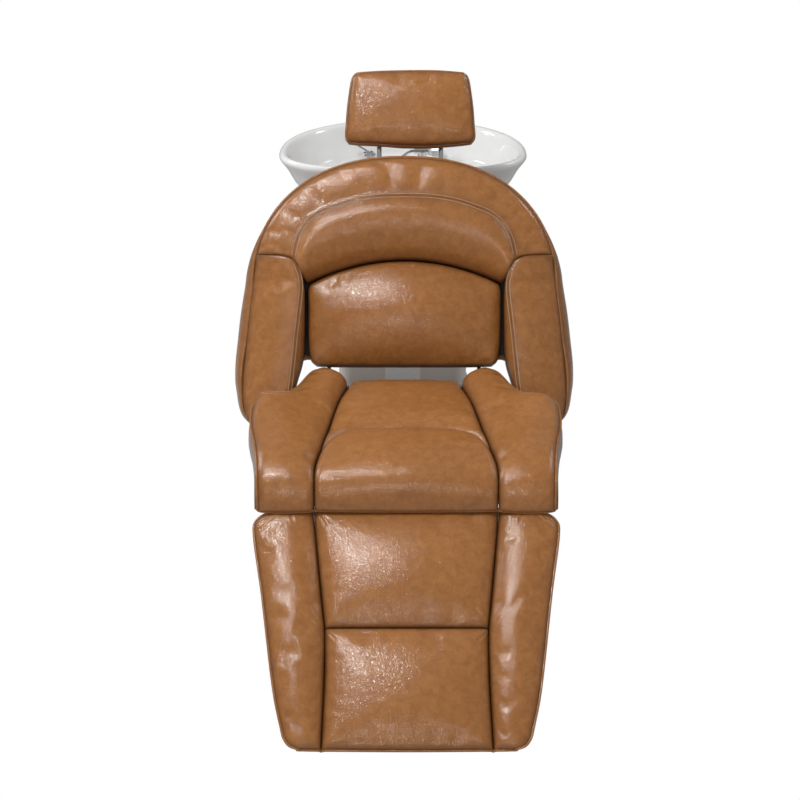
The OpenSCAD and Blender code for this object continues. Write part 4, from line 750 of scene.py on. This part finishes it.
lumbarSettings = {"grid": (130, 86), "fill": 0.85, "puff": 4, "bulge": 3, "seamGap": 2.5, "lift": 50,
                  "dome": 38, "domePower": 0.9, "drops": [(9, 22), (9, 22), (16, 28), (9, 18)],
                  "folds": [((4, 214), (16, 190), 0.9, 3), ((18, 218), (22, 188), 0.8, 2.6),
                            ((34, 216), (30, 186), 0.9, 3), ((-12, 208), (6, 184), 0.8, 3),
                            ((48, 210), (40, 186), 0.6, 2.6), ((-70, 196), (-40, 176), 0.7, 3.5),
                            ((-96, 182), (-62, 158), 0.8, 4)]}
g = lumbarSettings
lumbarSide = [(198, 58), (209, 68), (215, 90), (218, 140), (218.5, 190), (218.5, 226), (215, 242)]
lowHalf = [(60, 56), (150, 56.5), (198, 58)]
topHalf = [(x, lumbarArc(x) + g["seamGap"]) for x in (0, 45, 90, 140, 190)] + [lumbarSide[-1]]
plan = fourSided(mirrored(lowHalf)[::-1] + lowHalf, mirrored(topHalf)[:0:-1] + topHalf, mirrored(lumbarSide),
                 lumbarSide, g["grid"])
dome, _ = domeOf(plan, g["domePower"])
heights = g["lift"] + g["dome"] * dome + folds(plan, g["folds"])
lumbarPad, _ = flatPad("lumbar_pad_skin", plan, heights, g["drops"], boardGap, onBack, bulge=g["bulge"])

# Wings: highest along a stitched ridge, with a steep inner wall and a long outer slope
wingSettings = {"grid": (64, 130), "fill": 0.8, "puff": 2.5, "tuck": 3,
                "drops": [(9, 8), (5, 14), (26, 34), (4, 7)], "ridge": 95, "outer": (27, 100, 1.7),
                "inner": (26, 18, 1.6), "innerMost": 1.4, "crown": 5, "seam": (1.2, 4), "lowSwell": 8,
                "swellAt": (306, -38), "swellSize": (40, 34)}
wingInside = [(266, -77), (260, -56), (254, -32), (247, -5), (239, 25), (230, 55), (225.5, 85), (224.5, 125),
              (224.5, 225), (227, 250), (234, 274), (243, 288)]
wingTop = [(243, 288), (250, 294), (268, 301.5), (300, 304.5), (333, 305.5)]
wingOutside = [(338, -75), (351, -66), (358, -48), (364, -15), (362, 40), (355, 115), (349, 175), (342, 235),
               (333, 305.5)]
ridgeKeys = [(-78, 276), (-40, 264), (4, 256), (125, 243), (236, 232), (262, 236), (290, 247), (306, 262)]
g = wingSettings
plan = fourSided([wingInside[0], (300, -78.5), wingOutside[0]], wingTop, wingInside, wingOutside, g["grid"])
u, v = planShares(plan)
fromRidge = plan[..., 0] - across(ridgeKeys, plan[..., 1])
(outDepth, outOver, outPower), (inDepth, inOver, inPower) = g["outer"], g["inner"]
heights = g["ridge"] - outDepth * share(fromRidge / outOver) ** outPower
heights -= inDepth * np.clip(-fromRidge / inOver, 0, g["innerMost"]) ** inPower
heights += g["crown"] * np.sin(np.pi * u) * np.sin(np.pi * v) - g["seam"][0] * gauss(fromRidge, g["seam"][1])
swells = [gauss(plan[..., k] - g["swellAt"][k], g["swellSize"][k]) for k in (0, 1)]
heights += g["lowSwell"] * swells[0] * swells[1]
wings = {}
for side, sign in bothSides:
    wings[side], _ = flatPad("wing_" + side, plan, heights, g["drops"], boardGap, onBack, sign, tuck=g["tuck"],
                             sewn=fromRidge)
print("back pads shaped")

# Head cushion, a little to the right of the middle
headSettings = {"grid": (96, 72), "fill": 0.8, "puff": 3, "place": (14, 563), "under": -16, "bulge": 5,
                "lift": 26, "dome": 12, "domePower": 0.45, "drops": [(8, 18), (8, 18), (16, 34), (8, 20)]}
headSide = [(138, 7), (145, 16), (144, 50), (141, 90), (136, 128), (133, 146), (129, 157), (121, 164)]
headLow = [(-138, 7), (-118, 5), (-70, 3), (-20, -1), (50, -1), (116, 4), (138, 7)]
headTopLine = [(-121, 164), (-60, 167.5), (60, 168.5), (121, 164)]
g = headSettings
plan = fourSided(headLow, headTopLine, mirrored(headSide), headSide, g["grid"]) + np.array(g["place"])
dome, _ = domeOf(plan, g["domePower"])
headPad, headTop = flatPad("head_cushion", plan, g["lift"] + g["dome"] * dome, g["drops"], g["under"], onBack,
                           bulge=g["bulge"])
print("head cushion shaped")


# Upholstered shell round the back: an outline, and at each of its points a section that bulges outwards

def archOf(centre, radius, degrees):
    a = np.radians(degrees)
    return list(zip(centre[0] + radius * np.cos(a), centre[1] + radius * np.sin(a)))


shellSettings = {"points": 420, "outRows": 14, "inRows": 8, "lipFrom": 266, "lipTop": 84, "lipSlope": 4,
                 "lipOver": 14, "lipHigh": 56, "rimLow": 2, "bulge": 22, "bulgeOver": (-117, 535),
                 "rearInset": 26, "rear": (-52.4, -47.0), "liner": (0.12, 0.42), "fill": 0.9}
shellHalf = ([(0, 67), (110, 67), (190, 68), (214, 74), (228, 80), (237, 74), (242, 55), (248, 28), (254, 2),
              (262, -28)]
             + archOf((292, -49), 28, [180, 205, 230, 250, 270])
             + archOf((316, -29), 48, [270, 290, 310, 330, 350])
             + [(366, 0), (367, 20), (364, 60), (356, 115), (349, 175)]
             + [arch(a) for a in (1, 7, 15, 24, 34, 44, 54, 64, 74, 83, 90)])
g = shellSettings
shellLoop = shellHalf + mirrored(shellHalf[-2:0:-1]) + shellHalf[:1]
shellLine = smoothLine(shellLoop, np.linspace(0, 1, g["points"] + 1)[:-1])
shellOut = outwardOf(shellLine, 4)
beyondLip = np.maximum(np.abs(shellLine[:, 0]) - g["lipFrom"], (shellLine[:, 1] - g["lipTop"]) * g["lipSlope"])
lip = eased(share(beyondLip / g["lipOver"]))
bulges = g["bulge"] * np.sin(np.pi * ramp(shellLine[:, 1], *g["bulgeOver"])) * lip
sections = []
for point, out, l, b in zip(shellLine, shellOut, lip, bulges):
    f = g["rimLow"] + g["lipHigh"] * l
    outer = smoothLine([(1, f), (2.5 + b * 0.45, f * 0.82), (2 + b * 0.92, f * 0.42), (2 + b, 6 * l - 6),
                        (b * 0.75 - 3, -28), (-14, -46), (-34, -52)], np.linspace(0, 1, g["outRows"]))
    inner = smoothLine([(-33, -47), (b * 0.6 - 18, -38), (b - 6, -14), (b - 5, 8 * l - 4),
                        (b * 0.5 - 4, f * 0.7), (-5, f)], np.linspace(0, 1, g["inRows"]))
    section = np.vstack([outer, inner])
    sections.append(np.column_stack([point + section[:, :1] * out, section[:, 1]]))
bm = bmesh.new()
patch(bm, onBack(np.array(sections)), ring=True, loop=True)
shell = finished("back_shell_skin", bm, leatherSide)
rear = boardPiece("back_rear_panel", shellLine - g["rearInset"] * shellOut, *g["rear"], leatherSide, True)

# Black sheet on the board, seen in the gaps beside the lumbar cushion, that paints the shade there
shadeSheetHalf = [(200, 70), (238, 80), (240, 250), (226, 300)]
shadeSheetLine = np.array(shadeSheetHalf + mirrored(shadeSheetHalf)[::-1])
liner = boardPiece("back_liner", shadeSheetLine, *g["liner"], finishes["blackRubber"], False)
print("shell shaped")

# Bowl: ovals of half width, front, back and height, from the underside over the rim down to the drain
bowlSettings = {"centre": 614.237, "drain": 599.237, "half": 305, "front": 142, "back": 250, "frontLoss": 0.55,
                "points": 220, "frontPower": 0.8, "backPower": 0.95, "drainFrom": (112, 27), "drainHalf": 25,
                "drainRows": (600.0, 585.5), "neckRadius": 110, "neckCentre": 838, "neckDepth": 58,
                "neckLip": 6, "neckEnd": 0.1}


def oval(half, front, back):
    g = bowlSettings
    a = np.linspace(0, 2 * np.pi, g["points"], endpoint=False)
    c, s = np.cos(a), np.sin(a)
    p = np.where(s < 0, g["frontPower"], g["backPower"])
    return np.stack([half * np.sign(c) * np.abs(c) ** p,
                     g["centre"] + np.where(s < 0, front, back) * np.sign(s) * np.abs(s) ** p], -1)


def inset(d, z):
    g = bowlSettings
    return (g["half"] - d, g["front"] - g["frontLoss"] * d, g["back"] - d, z)


outerWall = [(112, 70, 110, 585), (135, 80, 130, 592), (190, 97, 170, 630), inset(44, 688), inset(19, 730),
             inset(3, 752)]
rim = [inset(3, 752), inset(0.4, 758), inset(1.6, 764), inset(6, 767.6), inset(12, 768.2), inset(18, 766),
       inset(23, 759), inset(31, 738), inset(40, 712), inset(49, 691)]
deck = [inset(49, 691), inset(53, 687), inset(58, 686.2), (252, 112, 150, 686), (251, 112, 140, 685)]
basin = [(251, 112, 140, 685), (248, 111, 131, 680), (226, 104, 120, 660), (180, 88, 104, 631),
         (120, 66, 80, 610), (60, 41, 54, 602.5), (27, 26, 26, 601.5)]
bowlRows = [smoothLine(points, np.linspace(0, 1, rows))
            for points, rows in ((outerWall, 34), (rim, 40), (deck, 16), (basin, 40))]
bowlRows = np.vstack(bowlRows[:1] + [rows[1:] for rows in bowlRows[1:]])
g = bowlSettings
rings = []
for half, front, back, z in bowlRows:
    ring = oval(half, front, back)
    fromHalf, toHalf = g["drainFrom"]
    if half < fromHalf and z > g["drainRows"][0]:
        ring[:, 1] += (g["drain"] - g["centre"]) * min(1, (fromHalf - half) / (fromHalf - toHalf))
    # The front of the rim dips in a round notch for the neck
    x, reach = np.abs(ring[:, 0]), g["neckRadius"] - g["neckEnd"]
    inNotch = (x < reach) & (ring[:, 1] < g["centre"] - g["neckDepth"])
    notch = g["neckCentre"] - np.sqrt(g["neckRadius"] ** 2 - np.minimum(x, reach) ** 2)
    over = z - notch
    dipped = notch - g["neckLip"] + np.where(over < g["neckLip"], (over + g["neckLip"]) / 2, g["neckLip"])
    rings.append(np.column_stack([ring, np.where(inNotch & (over > -g["neckLip"]), dipped, z)]))
well = oval(g["drainHalf"], g["drainHalf"], g["drainHalf"]) + np.array([0, g["drain"] - g["centre"]])
rings += [np.column_stack([well, np.full(len(well), z)]) for z in g["drainRows"]]
bm = bmesh.new()
patch(bm, np.array(rings), ring=True, loop=True)
bowlPiece = finished("bowl_glazed", bm, finishes["ceramic"])
print("bowl shaped")

# Cushions puff up between their seams: coarse sheets of cloth swell, and the fine pads follow them
clothSettings = {"pressure": 5.0, "shrink": -0.006, "frames": 14, "stride": 4, "least": 13, "quality": 3,
                 "mass": 0.3, "stretch": 20, "shear": 10, "bend": 3.0, "sewnReach": 6, "easeReach": 12}


def clothSheet(pad):
    settings = clothSettings
    shape, near = padGrids[pad.name]
    whole = coordinates(pad.data)
    counts = [max(settings["least"], n // settings["stride"]) for n in shape]
    rows, cols = (np.unique(np.linspace(0, n - 1, count).round().astype(int))
                  for n, count in zip(shape, counts))
    grid = whole[:near.size].reshape(shape + (3,))[rows][:, cols]
    # The rows are taken from the other end where the sheet would face inwards
    h, w = len(rows) // 2, len(cols) // 2
    normal = np.cross(grid[h, w + 1] - grid[h, w], grid[h + 1, w] - grid[h, w])
    turn = 1 if np.dot(normal, grid[h, w] - whole[near.size:].mean(0)) > 0 else -1
    bm = bmesh.new()
    patch(bm, grid[::turn] / metre)
    mesh = bpy.data.meshes.new("cloth_" + pad.name)
    bm.to_mesh(mesh)
    bm.free()
    mesh.update(calc_edges=True)
    sheet = bpy.data.objects.new("cloth_" + pad.name, mesh)
    bpy.context.scene.collection.objects.link(sheet)
    held = near[rows][:, cols] < settings["sewnReach"]
    held[0], held[-1], held[:, 0], held[:, -1] = True, True, True, True
    sheet.vertex_groups.new(name="sewn").add(np.nonzero(held[::turn].reshape(-1))[0].tolist(), 1.0, "REPLACE")
    cloth = sheet.modifiers.new("Cloth", "CLOTH")
    c = cloth.settings
    c.quality = settings["quality"]
    c.mass = settings["mass"]
    c.use_pressure = True
    c.uniform_pressure_force = settings["pressure"]
    c.shrink_min = settings["shrink"]
    c.tension_stiffness = c.compression_stiffness = settings["stretch"]
    c.shear_stiffness = settings["shear"]
    c.bending_stiffness = settings["bend"]
    c.vertex_group_mass = "sewn"
    c.effector_weights.gravity = 0
    cloth.collision_settings.use_collision = False
    cloth.point_cache.frame_start, cloth.point_cache.frame_end = 1, settings["frames"]
    return sheet, grid, rows, cols, turn


def coordinates(mesh):
    flat = np.zeros(len(mesh.vertices) * 3)
    mesh.vertices.foreach_get("co", flat)
    return flat.reshape(-1, 3)


# Steps at some rows or columns, spread over all of them and evened out
def spread(values, places, count, axis):
    values = np.moveaxis(values, axis, 0)
    columns = values.reshape(len(places), -1).T
    full = np.array([np.interp(np.arange(count), places, column) for column in columns]).T
    full = full.reshape((count,) + values.shape[1:])
    for _ in range(2):
        ends = np.concatenate([full[:1], full, full[-1:]])
        full = (ends[:-2] + 2 * ends[1:-1] + ends[2:]) / 4
    return np.moveaxis(full, 0, axis)


def swellAll(pairs):
    scene = bpy.context.scene
    sheets = [clothSheet(pad) for pad, most in pairs]
    for frameNumber in range(1, clothSettings["frames"] + 1):
        scene.frame_set(frameNumber)
    graph = bpy.context.evaluated_depsgraph_get()
    for (pad, most), (sheet, grid, rows, cols, turn) in zip(pairs, sheets):
        (high, wide), near = padGrids[pad.name]
        step = coordinates(sheet.evaluated_get(graph).data).reshape(grid.shape)[::turn] - grid
        size = np.maximum(np.linalg.norm(step, axis=2, keepdims=True), 1e-9)
        limit = most * metre
        step = step / size * limit * np.tanh(size / limit)
        step = spread(spread(step, rows, high, 0), cols, wide, 1)
        whole = coordinates(pad.data)
        whole[:near.size] += (step * share(near / clothSettings["easeReach"])[..., None]).reshape(-1, 3)
        pad.data.vertices.foreach_set("co", whole.reshape(-1))
        pad.data.update()
    for sheet, *_ in sheets:
        bpy.data.objects.remove(sheet)
    scene.frame_set(1)


# Each pad with its settings, its body and the solid that it stands for
pads = [(seatMiddle, seatSettings, "seat", "seat_cushion"),
        (bolsters["right"][0], bolsterSettings, "seat", "right_seat_bolster"),
        (bolsters["left"][0], bolsterSettings, "seat", "left_seat_bolster"),
        (upperPad, upperSettings, "back", "upper_back_pad"),
        (lumbarPad, lumbarSettings, "back", "lumbar_cushion"),
        (wings["right"], wingSettings, "back", "right_wing_pad"),
        (wings["left"], wingSettings, "back", "left_wing_pad"),
        (headPad, headSettings, "headrest", "headrest_cushion"),
        (legs["leg_upper"][0], legSettings, "legrest", "leg_upper_pad"),
        (legs["leg_lower"][0], legSettings, "legrest", "leg_lower_pad"),
        (legs["right"][0], legBolsterSettings, "legrest", "right_leg_bolster"),
        (legs["left"][0], legBolsterSettings, "legrest", "left_leg_bolster")]
swellAll([(pad, settings["puff"]) for pad, settings, body, solid in pads])
print("cushions puffed")

# Sewn cords along the edges, most of them pushed a little outwards
cordSettings = {"radius": 2.7, "headRadius": 2.4, "backRadius": 3.0, "sides": 10, "pitch": 4, "side": 1.5,
                "rear": 1.0, "middle": 0.8, "up": 0.5, "legOut": 1.2, "legHead": 0.5, "legUp": 0.3,
                "backOut": 1.5, "least": 8, "firstSide": (0.3, 0.2, 0.93)}


def cordPiece(name, line, radius=cordSettings["radius"], closed=False):
    p = np.asarray(line, float)
    reach = runLength(p)[-1]
    count = max(cordSettings["least"], int(reach / cordSettings["pitch"]))
    p = atLength(p, np.linspace(0, reach, count, endpoint=not closed))
    ahead = np.roll(p, -1, axis=0) - np.roll(p, 1, axis=0)
    if not closed:
        ahead[0], ahead[-1] = p[1] - p[0], p[-1] - p[-2]
    ahead /= np.maximum(np.linalg.norm(ahead, axis=1, keepdims=True), 1e-9)
    side = np.cross(ahead[0], cordSettings["firstSide"])
    turns = np.arange(cordSettings["sides"]) * 2 * np.pi / cordSettings["sides"]
    rings = []
    for centre, way in zip(p, ahead):
        side = side - way * np.dot(side, way)
        side /= np.linalg.norm(side)
        up = np.cross(side, way)
        rings.append(centre + radius * (np.outer(np.cos(turns), side) + np.outer(np.sin(turns), up)))
    if not closed:
        rings = [np.tile(p[0], (len(turns), 1))] + rings + [np.tile(p[-1], (len(turns), 1))]
    bm = bmesh.new()
    patch(bm, np.array(rings), ring=True, loop=closed)
    return finished(name, bm, pipingLeather)


g = cordSettings
cords = []
for side, sign in bothSides:
    top = bolsters[side][1]
    edge = onSeat(top[:, -1] + np.array([g["side"] * sign, 0, g["up"]]))
    rearEdge = onSeat(top[-1, ::-1] + np.array([0, g["rear"], g["up"]]))
    cords.append((cordPiece("seat_cord_" + side, np.vstack([edge, rearEdge[1:]])), "seat"))
cords.append((cordPiece("seat_cord_rear", onSeat(seatTop[-1] + np.array([0, g["middle"], g["up"]]))), "seat"))
legFootStep = np.array([0, -g["legOut"], g["legUp"]])
for side, sign in bothSides:
    top = legs[side][1]
    out = np.column_stack([g["legOut"] * sign * sideways(top[:, -1]), np.full(len(top), g["legUp"])])
    edge = onLeg(top[:, -1] + out)
    foot = onLeg(top[0, ::-1] + legFootStep)
    head = onLeg(top[-1] + np.array([0, g["legHead"], g["legUp"]]))
    cords.append((cordPiece("leg_cord_" + side, np.vstack([head, edge[::-1][1:], foot[1:]])), "legrest"))
cords.append((cordPiece("leg_cord_end", onLeg(legs["leg_lower"][1][0] + legFootStep)), "legrest"))
headLoop = onBack(borderOf(headTop))
headLoop = np.vstack([headLoop, headLoop[:1]])
cords.append((cordPiece("head_cord", headLoop, g["headRadius"], True), "headrest"))
shellRim = shellSettings["rimLow"] + (shellSettings["rimLow"] + shellSettings["lipHigh"]) * lip
shellRim = np.column_stack([shellLine + g["backOut"] * shellOut, shellRim])
cords.append((cordPiece("back_cord", onBack(shellRim[lip > 0.5]), g["backRadius"]), "back"))
print("cords laid")

# Topstitching: short threads in pairs of rows, dropped onto the pad along the back's own normal
stitchSettings = {"pitch": 5.2, "long": 3.5, "radius": 0.8, "sides": 5, "start": 2, "from": 180,
                  "arcApart": 4.2, "wingApart": 3.6, "arcEnds": 8, "wingReach": (-70, 300),
                  "ringsAt": (0.12, 0.88), "tip": 0.6, "sink": 0.8, "proud": 0.55}


def stitch(bm, first, last, up):
    g = stitchSettings
    r = g["radius"]
    turns = np.arange(g["sides"]) * 2 * np.pi / g["sides"]
    along = (last - first) / np.linalg.norm(last - first)
    beside = np.cross(along, up)
    beside /= np.linalg.norm(beside)
    ring = r * (np.outer(np.cos(turns), beside) + np.outer(np.sin(turns), up)) + up * r * g["proud"]
    tips = [np.tile(end + (along * way * g["tip"] - up * g["sink"]) * r, (g["sides"], 1))
            for end, way in ((first, -1), (last, 1))]
    rows = [ring + first + (last - first) * at for at in g["ringsAt"]]
    patch(bm, np.array(tips[:1] + rows + tips[1:]), ring=True)


def stitchRows(name, pad, rows):
    g = stitchSettings
    mesh = pad.data
    skin = BVHTree.FromPolygons([v.co.copy() for v in mesh.vertices], [p.vertices[:] for p in mesh.polygons])
    lean = math.radians(placeSettings["backLean"])
    inward = Vector((0, math.sin(lean), -math.cos(lean)))
    bm = bmesh.new()
    for row in rows:
        for start in np.arange(g["start"], runLength(row)[-1] - g["pitch"], g["pitch"]):
            hits = []
            for x, y in atLength(row, [start, start + g["long"]]):
                above = onBack(np.array([x, y, g["from"]])) * metre
                place, normal, _, _ = skin.ray_cast(Vector(above), inward)
                if place is not None:
                    hits.append((np.array(place) / metre, np.array(normal)))
            if len(hits) == 2:
                up = hits[0][1]
                stitch(bm, hits[0][0], hits[1][0], up if np.dot(up, inward) < 0 else -up)
    return finished(name, bm, finishes["threadPale"])


g = stitchSettings
columns = range(g["arcEnds"], upperPlan.shape[1] - g["arcEnds"])
arcLine = np.array([[np.interp(1.0, toArc[:, j], upperPlan[:, j, k]) for k in (0, 1)] for j in columns])
arcRows = [arcLine + apart * sideways(arcLine) for apart in (g["arcApart"], -g["arcApart"])]
stitches = [(stitchRows("arc_stitches", upperPad, arcRows), "back")]
low, high = g["wingReach"]
ridgeLine = smoothLine([(x, y) for y, x in ridgeKeys if low < y < high], np.linspace(0, 1, 80))
wingRows = [ridgeLine + apart * sideways(ridgeLine) for apart in (g["wingApart"], -g["wingApart"])]
for side, sign in bothSides:
    rows = [row * np.array([sign, 1]) for row in wingRows]
    stitches.append((stitchRows("wing_stitches_" + side, wings[side], rows), "back"))
print("stitches sewn")


# Bodies, slots and the solids that the pieces stand for

def dress(obj, body, solid=None):
    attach(obj, body)
    if solid is not None:
        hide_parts(solid)


for pad, settings, body, solid in pads:
    dress(pad, body, solid)
dress(shell, "back", "back_shell")
dress(rear, "back")
dress(liner, "back")
dress(bowlPiece, "bowl", "bowl")
for piece, body in cords + stitches:
    dress(piece, body)


# A slot such as grey_paint wears the finish greyPaint
def finishOf(slot):
    first, *rest = slot.split("_")
    return finishes[first + "".join(word.title() for word in rest)]


for row in frame["record"]["subparts"]:
    cad = nodes[row["node"]]
    cad.data.materials.clear()
    cad.data.materials.append(finishOf(row["material_slot"]))

# Stage: the floor and the world look white to the camera and light the unit at a plain level
stageSettings = {"floorHalf": 6, "floorAt": -1, "floorColour": (0.55, 0.55, 0.55, 1), "floorRough": 0.9,
                 "worldLight": 0.28}
stageMaterial, tree, surface = newMaterial("stage")
path = tree.nodes.new("ShaderNodeLightPath")
white = tree.nodes.new("ShaderNodeEmission")
white.inputs["Color"].default_value = (1, 1, 1, 1)
white.inputs["Strength"].default_value = 1.0
mix = tree.nodes.new("ShaderNodeMixShader")
surface.inputs["Base Color"].default_value = stageSettings["floorColour"]
surface.inputs["Roughness"].default_value = stageSettings["floorRough"]
tree.links.new(path.outputs["Is Camera Ray"], mix.inputs[0])
tree.links.new(surface.outputs[0], mix.inputs[1])
tree.links.new(white.outputs[0], mix.inputs[2])
tree.links.new(mix.outputs[0], tree.nodes["Material Output"].inputs["Surface"])
half = stageSettings["floorHalf"] / metre
bm = bmesh.new()
patch(bm, np.array([[(x, y, stageSettings["floorAt"]) for x in (-half, half)] for y in (-half, half)]))
floor = finished("floor", bm, stageMaterial, False)

world = bpy.data.worlds.new("studio")
bpy.context.scene.world = world
world.use_nodes = True
tree = world.node_tree
background = tree.nodes["Background"]
background.inputs["Color"].default_value = (1, 1, 1, 1)
path = tree.nodes.new("ShaderNodeLightPath")
level = rangeOf(tree, path.outputs["Is Camera Ray"], 0, 1, stageSettings["worldLight"], 1.0)
tree.links.new(level, background.inputs["Strength"])

# Softboxes, in metres and watts: place, aim, side, power, and whether glossy surfaces mirror it
lightSettings = {"keyBox": ((-1.05, -1.35, 3.4), (0, -0.1, 0.5), 0.34, 43, True),
                 "topBox": ((-0.95, -0.60, 3.4), (0, -0.3, 0.4), 0.34, 17, True),
                 "frontBox": ((-0.35, -4.2, 2.1), (0, 0, 0.6), 0.5, 16, True),
                 "fillBox": ((0.2, -4.0, 2.4), (0, 0.2, 0.5), 0.5, 24, False),
                 "rightBox": ((2.1, 0.6, 2.4), (0, 0, 0.5), 0.5, 11, True),
                 "leftBox": ((-2.2, 0.7, 2.2), (0, 0, 0.5), 0.6, 22, True)}
for name, (place, aim, side, power, mirroredBox) in lightSettings.items():
    data = bpy.data.lights.new(name, "AREA")
    data.shape = "RECTANGLE"
    data.size, data.size_y = side, side
    data.energy = power
    lamp = bpy.data.objects.new(name, data)
    lamp.location = place
    lamp.rotation_euler = (Vector(aim) - Vector(place)).to_track_quat("-Z", "Y").to_euler()
    lamp.visible_glossy = mirroredBox
    bpy.context.scene.collection.objects.link(lamp)

cameraSettings = {"place": (-0.038, -3.6333, 2.2464), "tilt": 62.95, "sensor": 36, "lens": 81.315,
                  "shift": 0.015625, "reach": 50, "pixels": 800}
camera = bpy.data.objects.new("camera", bpy.data.cameras.new("camera"))
bpy.context.scene.collection.objects.link(camera)
camera.location = cameraSettings["place"]
camera.rotation_euler = (math.radians(cameraSettings["tilt"]), 0, 0)
camera.data.sensor_width = cameraSettings["sensor"]
camera.data.lens = cameraSettings["lens"]
camera.data.shift_x = cameraSettings["shift"]
camera.data.clip_end = cameraSettings["reach"]
bpy.context.scene.camera = camera
bpy.context.scene.view_settings.view_transform = "Standard"
bpy.context.scene.view_settings.look = "None"
bpy.context.scene.render.resolution_x = bpy.context.scene.render.resolution_y = cameraSettings["pixels"]
print("stage set")
